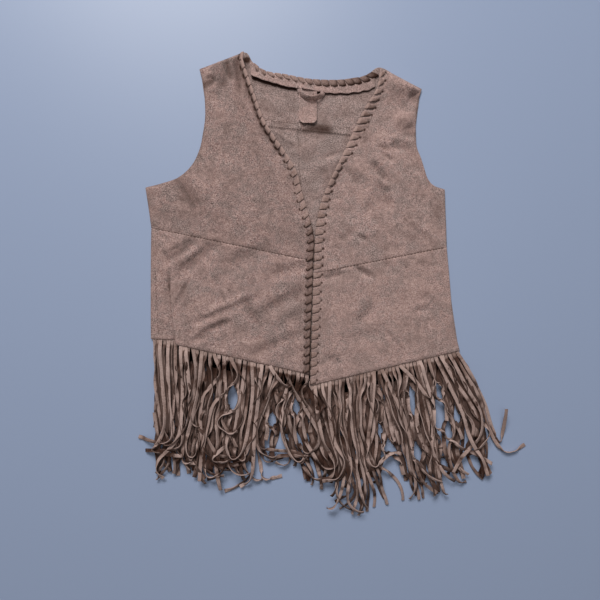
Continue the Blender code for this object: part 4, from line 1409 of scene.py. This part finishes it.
# Single strands that lie on top: their whole way in pixels.
TOP_RIGHT = [
    [(193, 347), (197, 372), (193, 400), (187, 426), (177, 440), (166, 444), (158, 433), (155, 412)],
    [(168, 341), (170, 400), (174, 432), (166, 442), (150, 440), (138, 437)],
    [(175, 341), (178, 400), (184, 438), (173, 449), (153, 450), (135, 452)],
    [(186, 345), (190, 384), (192, 418), (203, 430), (211, 443), (219, 457), (222, 468)],
    [(202, 349), (200, 384), (193, 418), (187, 440), (188, 452), (193, 456), (198, 450), (199, 432)],
    [(240, 358), (238, 385), (238, 412), (232, 438), (213, 457), (224, 461), (236, 456)],
    [(252, 361), (253, 392), (249, 425), (243, 450), (233, 458), (227, 446), (229, 430)],
    [(262, 364), (259, 396), (255, 430), (254, 452), (251, 478), (240, 487)],
    [(270, 366), (284, 384), (294, 386), (286, 400), (281, 425), (289, 452), (299, 461), (308, 452)],
    [(214, 351), (221, 372), (213, 384), (204, 396), (201, 420), (204, 446), (207, 474), (224, 473)],
    [(230, 356), (238, 372), (236, 381), (226, 392), (214, 404), (207, 430), (202, 456), (200, 480)],
    [(160, 339), (163, 380), (166, 420), (160, 440), (153, 449), (168, 454), (191, 455)],
    [(181, 345), (183, 390), (181, 430), (172, 446), (160, 458), (157, 470), (164, 479)],
    [(224, 355), (226, 385), (228, 405), (223, 419), (231, 434), (237, 446)],
    [(245, 359), (243, 385), (238, 406), (222, 415), (219, 424), (230, 432), (238, 430)],
    [(285, 368), (292, 386), (301, 402), (311, 418), (319, 434), (316, 447), (306, 452), (299, 443)],
]
TOP_LEFT = [
    [(458, 352), (470, 374), (484, 400), (493, 428), (499, 443), (503, 436), (504, 408)],
    [(454, 353), (466, 376), (480, 400), (490, 430), (502, 450), (514, 452), (526, 445)],
    [(374, 370), (372, 400), (368, 436), (367, 458), (374, 466), (382, 459), (391, 452), (402, 454)],
    [(311, 384), (320, 402), (327, 425), (337, 458), (331, 467), (320, 463), (305, 440)],
    [(441, 357), (452, 378), (466, 398), (478, 418), (488, 432), (480, 446), (466, 456)],
    [(400, 366), (414, 380), (426, 396), (430, 396), (433, 378), (436, 396), (442, 420)],
    [(382, 371), (392, 392), (404, 420), (412, 450), (420, 478), (436, 492)],
    [(315, 383), (317, 410), (323, 440), (334, 462), (330, 476), (314, 478), (303, 466)],
    [(330, 380), (329, 410), (334, 440), (344, 460), (338, 476), (322, 480)],
    [(420, 362), (428, 390), (440, 420), (456, 444), (474, 453), (491, 463)],
    [(450, 354), (464, 384), (479, 412), (478, 436), (462, 455), (452, 471)],
    [(436, 357), (448, 384), (462, 414), (470, 440), (481, 458), (487, 475)],
]


def hem_right(px):
    if px < 177.2:
        return 338.8 + (px - 151.6) * 0.05
    return 343.8 + (px - 177.0) * 0.2275


def hem_left(px):
    return 385.0 - (px - 309.5) * 0.2308


def hem_back(px):
    return 338.6 + (px - 151.6) * 0.0387


# How far down the tips reach, and the fan of the back's strands, in pixels.
Reach = namedtuple("Reach", "x y")
REACH = [
    Reach(120, 445), Reach(137, 454), Reach(150, 472), Reach(160, 482), Reach(175, 484),
    Reach(190, 488), Reach(205, 487), Reach(218, 495), Reach(240, 497), Reach(250, 488),
    Reach(258, 470), Reach(264, 460), Reach(290, 463), Reach(300, 474), Reach(310, 486),
    Reach(322, 491), Reach(334, 508), Reach(350, 517), Reach(362, 517), Reach(380, 506),
    Reach(396, 507), Reach(412, 500), Reach(426, 503), Reach(437, 494), Reach(450, 488),
    Reach(470, 476), Reach(484, 482), Reach(500, 462), Reach(515, 454), Reach(530, 446),
]  # fmt: skip
Fan = namedtuple("Fan", "hem mid low tip")  # x at the hem and at 400, 450 and 495 down
BACK_FAN = [
    Fan(152, 158, 161, 161),
    Fan(190, 191, 187, 186),
    Fan(224, 220, 214, 212),
    Fan(240, 245, 240, 236),
    Fan(270, 266, 257, 252),
    Fan(284, 282, 286, 292),
    Fan(310, 316, 326, 332),
    Fan(345, 348, 353, 356),
    Fan(376, 376, 380, 386),
    Fan(384, 393, 405, 414),
    Fan(406, 406, 414, 424),
    Fan(414, 421, 428, 434),
    Fan(430, 433, 437, 440),
    Fan(434, 448, 454, 456),
    Fan(446, 468, 478, 476),
    Fan(458, 484, 496, 500),
]
reach_line = np.array([at(r.x, r.y, 3) for r in REACH])


def reach_at(x):
    return np.interp(x, reach_line[:, 0], reach_line[:, 1])


def guide_way(guides, px, loose):
    hems = [g.hem for g in guides]
    k = int(np.clip(np.searchsorted(hems, px) - 1, 0, len(guides) - 2))
    f = np.clip((px - hems[k]) / (hems[k + 1] - hems[k]), 0, 1)
    if not guides[k].joined:
        f = np.clip(float(f > 0.5) + (f - 0.5) * 0.25, 0, 1)
    a, b = np.array(guides[k][2:], float), np.array(guides[k + 1][2:], float)
    way = a + (b - a) * f
    size = np.array([0.9, 1.6, 2.2, 2.8, 4.0, 5.0])[:, None]
    return way + loose * size * rng.normal(0, 1, (6, 2)) * np.array([1.0, 0.6])


Strand = namedtuple("Strand", "path start hold wild turns width lift")
Bunch = namedtuple("Bunch", "centre pull sway")


def sways():
    return [
        (rng.uniform(low, high), size, rng.uniform(0, 6.28))
        for low, high, size in ((80, 140, 2.6), (36, 64, 1.2))
    ]


def bunch_up(first, last):
    """The bunches in which strands hang from a hem, by the pixel where each ends."""
    found, start = [], first
    while start < last:
        end = start + rng.uniform(10, 23)
        found.append((end, Bunch((start + end) / 2, rng.uniform(0.2, 0.5), sways())))
        start = end
    return found


def strand_path(points_px, length, jitter=0.0, curl=0.0, shared=(), extend=True):
    """A strand's way on the floor, pushed out of the gaps, its last part curled."""
    points = np.array([at(x, y, 5) for x, y in points_px])
    t = np.linspace(0, len(points) - 1, 400)
    path, s = evenly(hermite(points, t), step=1.5)
    if jitter:
        run = np.gradient(path, axis=0)
        run /= np.linalg.norm(run, axis=1)[:, None]
        side = np.stack([-run[:, 1], run[:, 0]], 1)
        sway = np.zeros(len(s))
        for part, share in ((sways(), 0.4 if shared else 1.0), (shared, 0.8)):
            for wave, size, phase in part:
                sway += share * size * np.sin(2 * np.pi * s / wave + phase)
        path = path + side * (jitter * sway * smooth(s / 34.0))[:, None]
    for g in GAPS:
        c = at(g.x, g.y, 5)
        half_x, half_y = g.half_wide * 1.66 + 2.6, g.half_tall * 1.66
        q = (path[:, 1] - c[1]) / half_y
        room = np.where(np.abs(q) < 1, half_x * np.sqrt(np.maximum(0, 1 - q * q)), 0)
        dx = path[:, 0] - c[0]
        inside = np.abs(dx) < room
        if inside.any():
            way = 1.0 if dx[inside].mean() >= 0 else -1.0
            path[inside, 0] = c[0] + way * room[inside]
    for _ in range(5):
        path[1:-1] = 0.25 * path[:-2] + 0.5 * path[1:-1] + 0.25 * path[2:]
    path, s = evenly(path, step=1.5)
    path = path[: max(12, int((length - curl) / 1.5))]
    end = path[-1] - path[-5]
    angle = math.atan2(end[1], end[0])
    bend = rng.choice([-1, 1]) * rng.uniform(0.002, 0.022)
    where, more = path[-1], []
    turns_aside = rng.random() < 0.3
    while extend and (len(path) + len(more)) * 1.5 < length:
        bend = np.clip(bend + rng.normal(0, 0.003), -0.04, 0.04)
        turn = bend
        if where[1] < reach_at(where[0]) + 4 and math.sin(angle) < 0.15:
            if not turns_aside:
                break
            turn = 0.10 if math.cos(angle) > 0 else -0.10
        angle += turn * 1.5
        where = where + 1.5 * np.array([math.cos(angle), math.sin(angle)])
        more.append(where)
    if more:
        path = np.concatenate([path, np.array(more)])
    return path[: int(length / 1.5)]


def in_gaps(path):
    """How many points of a strand's way lie over the openings."""
    count = 0
    for g in GAPS:
        c = at(g.x, g.y, 5)
        x = (path[:, 0] - c[0]) / (g.half_wide * 1.66 + 1.5)
        y = (path[:, 1] - c[1]) / (g.half_tall * 1.66)
        count += int((x * x + y * y < 1).sum())
    return count


GRID_X, GRID_Y = -380.0, -440.0
pile = np.zeros((400, 760))  # height of what lies there already, each millimetre: rows are y
PILE = 13.0  # a heap of strands settles below this


def pile_at(points):
    i = np.clip((points[:, 1] - GRID_Y).astype(int), 0, pile.shape[0] - 1)
    j = np.clip((points[:, 0] - GRID_X).astype(int), 0, pile.shape[1] - 1)
    return i, j


def half_seen(width, roll):
    """Half of a turned strand's width as seen from above."""
    return width / 2 * np.abs(np.cos(roll)) + STRAND_WALL / 2 * np.abs(np.sin(roll))


def lay(path, start_z, hold, roll, width, lift, stiff=34.0):
    """Lays a strand on the pile, adds it, and gives the heights of its centreline."""
    s = np.arange(len(path)) * 1.5
    run = np.gradient(path, axis=0)
    run /= np.maximum(np.linalg.norm(run, axis=1)[:, None], 1e-9)
    side = np.stack([-run[:, 1], run[:, 0]], 1)
    half = half_seen(width, roll)
    tall = width / 2 * np.abs(np.sin(roll)) + STRAND_WALL / 2 * np.abs(np.cos(roll))
    places = [pile_at(path + side * (o * half)[:, None]) for o in np.linspace(-0.8, 0.8, 7)]
    below = np.max([pile[p] for p in places], 0)
    below[s < hold] = 0
    gap = s[:, None] - s[None, :]
    low = np.maximum((below[None, :] - gap**2 / (2 * stiff)).max(1), 0)
    held = smooth(1 - (s - hold) / 16.0)
    settled = PILE * (1 - np.exp(-low / PILE))
    middle = settled * (1 - held) + start_z * held + tall + lift * smooth((s - s[-1] + 52) / 52.0)
    for p in places:
        np.maximum.at(pile, p, np.where(s < hold, 0, low + np.minimum(2 * tall, 2.6)))
    return middle, low


def strand_rings(path, middle, roll, width, count):
    line = np.column_stack([path, middle])
    pick = np.unique(np.linspace(0, len(line) - 1, count).round().astype(int))
    run = np.gradient(line, axis=0)
    run /= np.maximum(np.linalg.norm(run, axis=1)[:, None], 1e-9)
    flat = np.stack([-run[:, 1], run[:, 0], np.zeros(len(run))], 1)
    flat /= np.maximum(np.linalg.norm(flat, axis=1)[:, None], 1e-9)
    up = np.cross(run, flat)
    across = flat * np.cos(roll)[:, None] + up * np.sin(roll)[:, None]
    out = np.cross(run, across)
    w, h = width / 2, STRAND_WALL / 2
    profile = [
        (-w + 0.5, -h), (-w + 1.6, -h), (w - 1.6, -h), (w - 0.5, -h), (w, -0.3), (w, 0.3),
        (w - 0.5, h), (w - 1.6, h), (-w + 1.6, h), (-w + 0.5, h), (-w, 0.3), (-w, -0.3),
    ]  # fmt: skip
    rings = np.stack([line + across * a + out * b for a, b in profile], 1)
    rings[..., 2] = np.maximum(rings[..., 2], 0.0)
    return rings[pick], pick


FACE_SIDE = np.array([-1, -1, -1, -1, -0.3, 0.3, 1, 1, 1, 1, 0.3, -0.3])
RIMS = [4, 5, 10, 11]


def roll_of(path, seed, calm_until, wild=1.0, turns=(8, 30, 52, 68)):
    """How a strand turns about its length: flat at the hem, then on edge, more so where it bends."""
    r = np.random.default_rng(seed)
    s = np.arange(len(path)) * 1.5
    run = np.gradient(path, axis=0)
    angle = np.unwrap(np.arctan2(run[:, 1], run[:, 0]))
    bend = np.gradient(angle) / 1.5
    for _ in range(8):
        bend[1:-1] = 0.25 * bend[:-2] + 0.5 * bend[1:-1] + 0.25 * bend[2:]
    on_edge = np.radians(r.choice([-1, 1]) * r.choice(turns))
    first, last = calm_until + r.uniform(0, 22), r.uniform(130, 220)
    roll = on_edge * smooth((s - first) / 20.0) * smooth((last - s) / 40.0)
    for wave, size in ((r.uniform(80, 190), r.uniform(8, 30)), (r.uniform(30, 70), r.uniform(4, 16))):
        roll += np.radians(size) * np.sin(2 * np.pi * s / wave + r.uniform(0, 6.28))
    roll = roll * wild + np.radians(74) * np.tanh(bend * 26.0)
    if r.random() < 0.25 * wild:
        centre = r.uniform(60, 190)
        roll = roll + np.pi * r.choice([-1, 1]) * smooth((s - centre) / 44.0)
    return roll * smooth((s - calm_until) / 16.0)


def laid(strands, start):
    """Lays strands one after another."""
    done = []
    for k, st in enumerate(strands):
        roll = roll_of(st.path, start + k, st.hold, st.wild, st.turns)
        middle, order = lay(st.path, st.start, st.hold, roll, st.width, st.lift)
        done.append((st.path, middle, roll, order, st.width))
    return done


def cells(path, half):
    """Squares of the pile's grid under a strand, for each point a row of them."""
    run = np.gradient(path, axis=0)
    run /= np.maximum(np.linalg.norm(run, axis=1)[:, None], 1e-9)
    side = np.stack([-run[:, 1], run[:, 0]], 1)
    half = np.broadcast_to(half, (len(path),))
    return [pile_at(path + side * (o * half)[:, None]) for o in np.linspace(-1, 1, 9)]


def cover(strands):
    """Which strand lies uppermost over each square, by the order in which they are stacked."""
    top = np.full_like(pile, -1.0)
    for path, middle, roll, order, width in strands:
        for p in cells(path, half_seen(width, roll)):
            np.maximum.at(top, p, order)
    wider = [np.roll(np.roll(top, i, 0), j, 1) for i in (-1, 0, 1) for j in (-1, 0, 1)]
    return np.maximum(top, np.where(top < 0, np.max(wider, 0), -1.0))


AROUND = [
    (r * math.cos(a), r * math.sin(a))
    for r in (1.8, 3.4, 5.2)
    for a in np.linspace(0, 2 * math.pi, 12, endpoint=False) + r
]


WIDELY = [
    (r * math.cos(a), r * math.sin(a))
    for r in (8.0, 13.0)
    for a in np.linspace(0, 2 * math.pi, 10, endpoint=False) + r
]


# Hollows of the heap, painted dark as shade, and bunches painted pale as highlights (dark below 0): a
# line in pixels, its half width, and how dark it is.
Shade = namedtuple("Shade", "x0 y0 x1 y1 wide dark")
SHADES = [
    Shade(201, 388, 216, 368, 5.5, 0.60),
    Shade(214, 369, 232, 374, 5.5, 0.65),
    Shade(228, 366, 254, 368, 4.0, 0.55),
    Shade(178, 364, 190, 366, 4.0, 0.50),
    Shade(282, 373, 298, 384, 6.0, 0.85),
    Shade(298, 384, 318, 403, 5.0, 0.80),
    Shade(318, 403, 342, 440, 4.0, 0.65),
    Shade(266, 398, 276, 390, 4.0, 0.50),
    Shade(275, 431, 280, 428, 5.0, 0.55),
    Shade(300, 445, 306, 440, 5.0, 0.50),
    Shade(316, 463, 328, 461, 7.0, 0.85),
    Shade(340, 474, 346, 470, 5.0, 0.65),
    Shade(268, 447, 308, 478, 4.0, 0.50),
    Shade(308, 478, 330, 482, 4.0, 0.50),
    Shade(152, 450, 182, 458, 6.0, 0.70),
    Shade(200, 452, 214, 460, 6.0, 0.60),
    Shade(214, 462, 240, 462, 6.0, 0.60),
    Shade(434, 368, 460, 382, 5.5, 0.50),
    Shade(456, 358, 462, 372, 5.0, 0.50),
    Shade(466, 398, 482, 418, 4.5, 0.65),
    Shade(420, 404, 432, 400, 5.0, 0.45),
    Shade(466, 453, 482, 465, 5.5, 0.60),
    Shade(478, 470, 484, 474, 5.0, 0.50),
    Shade(444, 463, 460, 458, 4.5, 0.45),
    Shade(362, 430, 368, 437, 4.0, 0.40),
    Shade(374, 470, 392, 492, 4.5, 0.50),
    Shade(408, 460, 436, 490, 4.5, 0.45),
    Shade(350, 490, 366, 498, 5.0, 0.40),
    Shade(214, 386, 219, 392, 5.0, -0.40),
    Shade(230, 400, 234, 408, 5.0, -0.35),
    Shade(270, 378, 274, 384, 5.0, -0.45),
    Shade(292, 406, 304, 424, 5.0, -0.35),
    Shade(340, 402, 356, 392, 7.0, -0.25),
    Shade(376, 400, 392, 408, 8.0, -0.25),
    Shade(409, 398, 412, 420, 4.0, -0.35),
    Shade(240, 380, 242, 410, 4.0, -0.30),
    Shade(194, 394, 196, 402, 4.0, -0.30),
    Shade(158, 370, 164, 410, 8.0, 0.10),
]


def shaded(flat):
    """The painted shade that the SHADES table puts on some points of the fringe, from the hollows they lie in;
    rows below 0 give painted highlights.
    """
    total = np.zeros(len(flat))
    for row in SHADES:
        a, b = at(row.x0, row.y0, 5)[:2], at(row.x1, row.y1, 5)[:2]
        t = np.clip((flat - a) @ (b - a) / ((b - a) @ (b - a)), 0, 1)
        far = np.linalg.norm(flat - a - t[:, None] * (b - a), axis=1)
        total += row.dark * np.exp(-((far / (row.wide * 1.667)) ** 2))
    return total


def fringe_piece(name, strands, headers, start, top, count=74, shade=0.0):
    bundle = Bundle()
    for rings in headers:
        bundle.add(rings, wear=0.05, tone=0.1, face=1.0)
    for k, (path, middle, roll, order, width) in enumerate(strands):
        rings, pick = strand_rings(path, middle, roll, width, count)
        r = np.random.default_rng(start + 500 + k)
        flat = rings.reshape(-1, 3)[:, :2]
        own = np.repeat(order[pick], rings.shape[1])
        # painted shade on strips that others cover, a painted highlight on those that lie uppermost, and more
        # painted shade in the heap's wide hollows
        over = np.mean([top[pile_at(flat + o)] > own + 1.0 for o in AROUND], 0)
        over = over.reshape(rings.shape[:2])
        wear = np.interp(over, [0.0, 0.08, 0.24, 0.50], [0.24, 0.02, -0.72, -1.0])
        deep = np.mean([np.clip(top[pile_at(flat + o)] - own, -5, 7) for o in WIDELY], 0)
        wear = wear - 0.06 * deep.reshape(rings.shape[:2])
        # what stands up gets a painted highlight at its upper rim and painted shade in the crevice below
        tilt = (rings[..., 2] - rings[..., 2].mean(1, keepdims=True)) / (width / 2)
        tilt = np.clip(tilt, -1, 1)
        begin = smooth((pick * 1.5 - 12.0) / 20.0)[:, None]
        wear = wear + begin * np.where(tilt > 0, 0.35 * tilt, 0.85 * tilt)
        # painted dark outlines along the strips' edges, as shade
        wear[:, RIMS] -= 0.6 * (1 - np.abs(tilt[:, RIMS]))
        # painted shade on the strips of the back's layer, less towards their tips
        wear = wear - shade * smooth((len(path) * 1.5 - pick * 1.5 - 40.0) / 40.0)[:, None]
        hollow = shaded(flat).reshape(rings.shape[:2])
        wear = wear - 1.5 * hollow * np.interp(over, [0.0, 0.12], [0.75, 1.0])
        wear = np.maximum(wear, -0.84 - 0.14 * np.clip(1.5 * hollow, 0, 1))
        wear[pick < 9] = np.maximum(wear[pick < 9], 0.0)
        # the cut end is darker
        wear[-1] -= 0.3
        tone = np.clip(r.normal(0.0, 0.45), -1, 1)
        bundle.add(rings, wear=wear, tone=tone, face=FACE_SIDE[None, :] * r.choice([1, 1, 1, -1]))
    return bundle.build(name, fringe_suede, sharp=50)


def hem_under(side, px, hem):
    """Height of the underside of a front at its hem."""
    grid = FRONTS[f"front_lower_{side}"][3]
    if side == "right":
        grid = grid[:19] if px < 177.2 else grid[38:]
    x = at(px, hem(px), 5)[0]
    return float(np.interp(x, *grid[np.argsort(grid[:, 0])][:, [0, 2]].T)) - SUEDE - 0.2


def header(places, hem, height):
    """The uncut band at the top of a fringe, under its hem."""
    line = np.array([[*at(px, hem(px), 5), height(px) - STRAND_WALL / 2] for px in places])
    line[:, 1] += 1.8
    run = np.gradient(line, axis=0)
    across = np.stack([-run[:, 1], run[:, 0], np.zeros(len(run))], 1)
    return sweep(line, across, 8.4, STRAND_WALL)


def hem_spots(first, last, step=STRAND_PITCH):
    a, b = at(first, 350, 5)[0], at(last, 350, 5)[0]
    n = int(abs(b - a) / step)
    return np.linspace(first, last, n + 1)[:-1] + (last - first) / n / 2


# the fronts' strands
sets = {}
for side, guides, hem, spans, tops in (
    ("right", GUIDES_RIGHT, hem_right, ((152.0, 176.8), (177.4, 309.2)), TOP_RIGHT),
    ("left", GUIDES_LEFT, hem_left, ((310.2, 458.8),), TOP_LEFT),
):
    strands, headers = [], []
    taken = [t[0][0] for t in tops]

    def under(px):
        return hem_under(side, px, hem)

    for first, last in spans:
        strip = side == "right" and first < 170
        bunched = bunch_up(first, last)
        headers.append(header(np.linspace(first, last, 40), hem, under))
        for px in hem_spots(first, last, 5.4 if strip else STRAND_PITCH if side == "right" else LEFT_PITCH):
            if min(abs(px - q) for q in taken) < 1.7:
                continue
            way = guide_way(guides, px, 0.5 if strip else 0.8)
            bunch = next(b for end, b in bunched if px <= end)
            draw = 0.0 if strip else bunch.pull
            way[:, 0] += draw * (bunch.centre - px) * np.array([1.0, 0.9, 0.6, 0.3, 0.0, 0.0])
            points = [(px, hem(px) - 3), (px, hem(px) + 1.5), (px + 0.12 * (way[0, 0] - px), hem(px) + 9), *way]
            length = STRAND_LENGTH * rng.uniform(0.93, 1.03)
            curl = rng.uniform(0, 30) if strip else rng.uniform(5, 85)
            tries = [
                strand_path(points, length, 0.35 if strip else 0.9, curl, bunch.sway) for _ in range(5)
            ]
            strands.append(
                Strand(
                    min(tries, key=in_gaps),
                    max(0.0, under(px) - STRAND_WALL),
                    5.0,
                    0.8 if strip else 1.0,
                    (48, 60, 70) if strip else (20, 45, 58, 68),
                    STRIP_WIDTH if strip else STRAND_WIDTH if side == "right" else LEFT_WIDTH,
                    0.0,
                )
            )
    strands = [strands[k] for k in rng.permutation(len(strands))]
    for way in tops:
        px = way[0][0]
        points = [(px, hem(px) - 3), (px, hem(px) + 1.5), *way[1:]]
        start = max(0.0, under(px) - STRAND_WALL)
        lift = 12.0 if way[-1] == (504, 408) else 0.0
        strands.append(
            Strand(strand_path(points, STRAND_LENGTH * 1.02, extend=False), start, 5.0, 0.7, (8, 30), STRAND_WIDTH, lift)
        )
    sets[side] = (strands, headers)

# the back's strands lie under them, each in the way that fills most of what is still bare
grid_y, grid_x = np.mgrid[0 : pile.shape[0], 0 : pile.shape[1]]
grid_x, grid_y = grid_x + GRID_X + 0.5, grid_y + GRID_Y + 0.5
hem_line = np.array([at(px, hem_right(px) if px < 309.5 else hem_left(px), 5) for px in range(152, 460)])
bare = (grid_y < np.interp(grid_x, hem_line[:, 0], hem_line[:, 1])) & (
    grid_y > np.interp(grid_x, reach_line[:, 0], reach_line[:, 1]) + 42
)
low_right, top_right = at(489, 440, 5), at(458, 351, 5)
bare &= grid_x > at(155, 400, 5)[0]
bare &= grid_x < np.interp(grid_y, [low_right[1], top_right[1]], [low_right[0], top_right[0]])
for g in GAPS:
    c = at(g.x, g.y, 5)
    bare &= ((grid_x - c[0]) / (g.half_wide * 1.66)) ** 2 + ((grid_y - c[1]) / (g.half_tall * 1.66)) ** 2 > 1
SEEDS = {"right": 2000, "left": 3000}
for side, (strands, _) in sets.items():
    for k, st in enumerate(strands):
        roll = roll_of(st.path, SEEDS[side] + k, st.hold, st.wild, st.turns)
        for p in cells(st.path, 0.9 * half_seen(st.width, roll)):
            bare[p] = False
back = []
fan = np.array(BACK_FAN, float)
spots = hem_spots(152.2, 458.6, 5.4)
order = [(px, 0) for px in spots[rng.permutation(len(spots))]]
order += [(px, 60) for px in spots[rng.permutation(len(spots))] + 1.6]
for px, least in order:
    py = hem_back(px)
    front = hem_right(px) if px < 309.5 else hem_left(px)
    length = STRAND_LENGTH * (rng.uniform(0.6, 0.72) if least else rng.uniform(0.9, 1.02))
    best = None
    for trial in range(18):
        loose = 1.6 + 0.35 * trial
        mid, low, tip = (
            np.interp(px, fan[:, 0], fan[:, k]) + rng.normal(0, loose * k) for k in (1, 2, 3)
        )
        plain = np.interp(px, fan[:, 0], fan[:, 1])
        near, next_ = (px + (plain - px) * (y - py) / (400 - py) for y in (front + 3, front + 20))
        points = [(px, py - 3), (px, py + 1), (near, front + 3), (next_, front + 20)]
        points += [(mid, max(400, front + 32)), (low, 450), (tip, 495)]
        way = strand_path(points, length, 0.8, 0.0 if least else rng.uniform(10, 70))
        filled = sum(bare[p].sum() for p in cells(way, BACK_WIDTH / 2 * 0.85)) - 12 * in_gaps(way)
        if best is None or filled > best[0]:
            best = (filled, way)
    if best[0] < least:
        continue
    for p in cells(best[1], BACK_WIDTH / 2 * 0.85):
        bare[p] = False
    hold = (front - py) * 1.667 + 34.0
    back.append(Strand(best[1], 0.0, hold, 0.25, (8, 30, 52), BACK_WIDTH, 0.0))

bunches = {
    "fringe_back": (
        laid(back, 1000),
        [header(np.linspace(152.4, 458, 60), hem_back, lambda px: STRAND_WALL)],
        1000,
    )
}
for side, seed in SEEDS.items():
    strands, headers = sets[side]
    bunches[f"fringe_front_{side}"] = (laid(strands, seed), headers, seed)
top = cover([s for strands, _, _ in bunches.values() for s in strands])
for name, (strands, headers, seed) in bunches.items():
    # the back's strips get painted shade of up to 0.4
    rest = (50, 0.4) if name == "fringe_back" else (74, 0.0)
    pieces[name] = fringe_piece(name + "_strands", strands, headers, seed, top, *rest)
    print(name, len(strands), "strands")

# ---- what each piece stands for ------------------------------------------------------------------------------
for node, ob in pieces.items():
    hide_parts(node)


def cut_of(rows, start, end):
    """Width, length and area in metres of a cut that lies flat, from its rows."""
    a = [(getattr(r, start + "_x"), getattr(r, start + "_y")) for r in rows]
    b = [(getattr(r, end + "_x"), getattr(r, end + "_y")) for r in rows]
    x, y = np.array(a + b[::-1]).T
    area = abs((x * np.roll(y, -1) - y * np.roll(x, -1)).sum() / 2)
    return np.ptp(x) * MM, np.ptp(y) * MM, area * MM * MM


# The tuck takes up twice its overlap: at the hem in width, and along its length in area.
tuck_wide = 2 * TUCK[0].overlap * MM
tuck_long = np.array([r.side_y for r in LOWER_RIGHT])
tuck_over = np.array([r.overlap for r in TUCK])
tuck_area = 2 * ((tuck_over[1:] + tuck_over[:-1]) / 2 * np.diff(tuck_long)).sum() * MM * MM

Cut = namedtuple("Cut", "rows start end more_wide more_area on pieces")
CUTS = {
    "back_yoke": Cut(YOKE, "seam", "top", 0, 0, [], []),
    "back_right": Cut(BACK_RIGHT, "side", "centre", 0, 0, [], ["fringe_back"]),
    "back_left": Cut(BACK_LEFT, "side", "centre", 0, 0, [], []),
    "front_upper_right": Cut(
        UPPER_RIGHT, "side", "edge", 0, 0, ["back_right", "back_yoke"], ["lace_front_right"]
    ),
    "front_upper_left": Cut(
        UPPER_LEFT, "side", "edge", 0, 0, ["back_left", "back_yoke"], ["lace_front_left"]
    ),
    "front_lower_right": Cut(
        LOWER_RIGHT,
        "side",
        "edge",
        tuck_wide,
        tuck_area,
        ["back_right"],
        ["fringe_front_right"],
    ),
    "front_lower_left": Cut(
        LOWER_LEFT, "side", "edge", 0, 0, ["back_left"], ["fringe_front_left"]
    ),
    "back_neck_facing": Cut(FACING, "top", "cut", 0, 0, ["back_yoke"], ["lace_back_neck"]),
}
for node, cut in CUTS.items():
    wide, long, area = cut_of(cut.rows, cut.start, cut.end)
    wide, area = wide + cut.more_wide, area + cut.more_area
    print(f"cut {node}: {wide * 1000:.1f} x {long * 1000:.1f} mm, {area * 1e6:.0f} mm2")

# ---- floor and light --------------------------------------------------------------------------------------------
mesh = bpy.data.meshes.new("floor")
size = 6.0
mesh.from_pydata(
    [(-size, -size, 0), (size, -size, 0), (size, size, 0), (-size, size, 0)], [], [(0, 1, 2, 3)]
)
floor = bpy.data.objects.new("floor", mesh)
floor.location.z = -0.0002
bpy.context.scene.collection.objects.link(floor)
pale = bpy.data.materials.new("pale_floor")
pale.use_nodes = True
shader = pale.node_tree.nodes["Principled BSDF"]
shader.inputs["Base Color"].default_value = (0.345, 0.425, 0.605, 1)
shader.inputs["Roughness"].default_value = 0.45
mesh.materials.append(pale)
floor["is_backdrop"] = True

world = bpy.data.worlds.new("studio")
bpy.context.scene.world = world
world.use_nodes = True
world.node_tree.nodes["Background"].inputs["Color"].default_value = (1.0, 0.97, 0.95, 1)
world.node_tree.nodes["Background"].inputs["Strength"].default_value = 0.12


def lamp(name, at_m, aim_m, size_x, size_y, watts, colour):
    data = bpy.data.lights.new(name, "AREA")
    data.shape = "RECTANGLE"
    data.size, data.size_y = size_x, size_y
    data.energy = watts
    data.color = colour
    ob = bpy.data.objects.new(name, data)
    bpy.context.scene.collection.objects.link(ob)
    from mathutils import Vector

    look = Vector(aim_m) - Vector(at_m)
    ob.location = at_m
    ob.rotation_euler = look.to_track_quat("-Z", "Y").to_euler()


lamp("key", (-0.95, 3.3, 2.75), (0.0, -0.05, 0.0), 2.4, 1.45, 168.0, (1.0, 0.98, 0.96))
lamp("top", (0.1, 0.2, 2.2), (0.0, 0.0, 0.0), 1.6, 1.6, 7.0, (0.97, 0.98, 1.0))
bpy.context.scene.view_settings.view_transform = "Standard"

plain = lambda box: [[float(v) for v in corner] for corner in box]
{"cad": plain(cad_box), "visual": plain(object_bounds())}
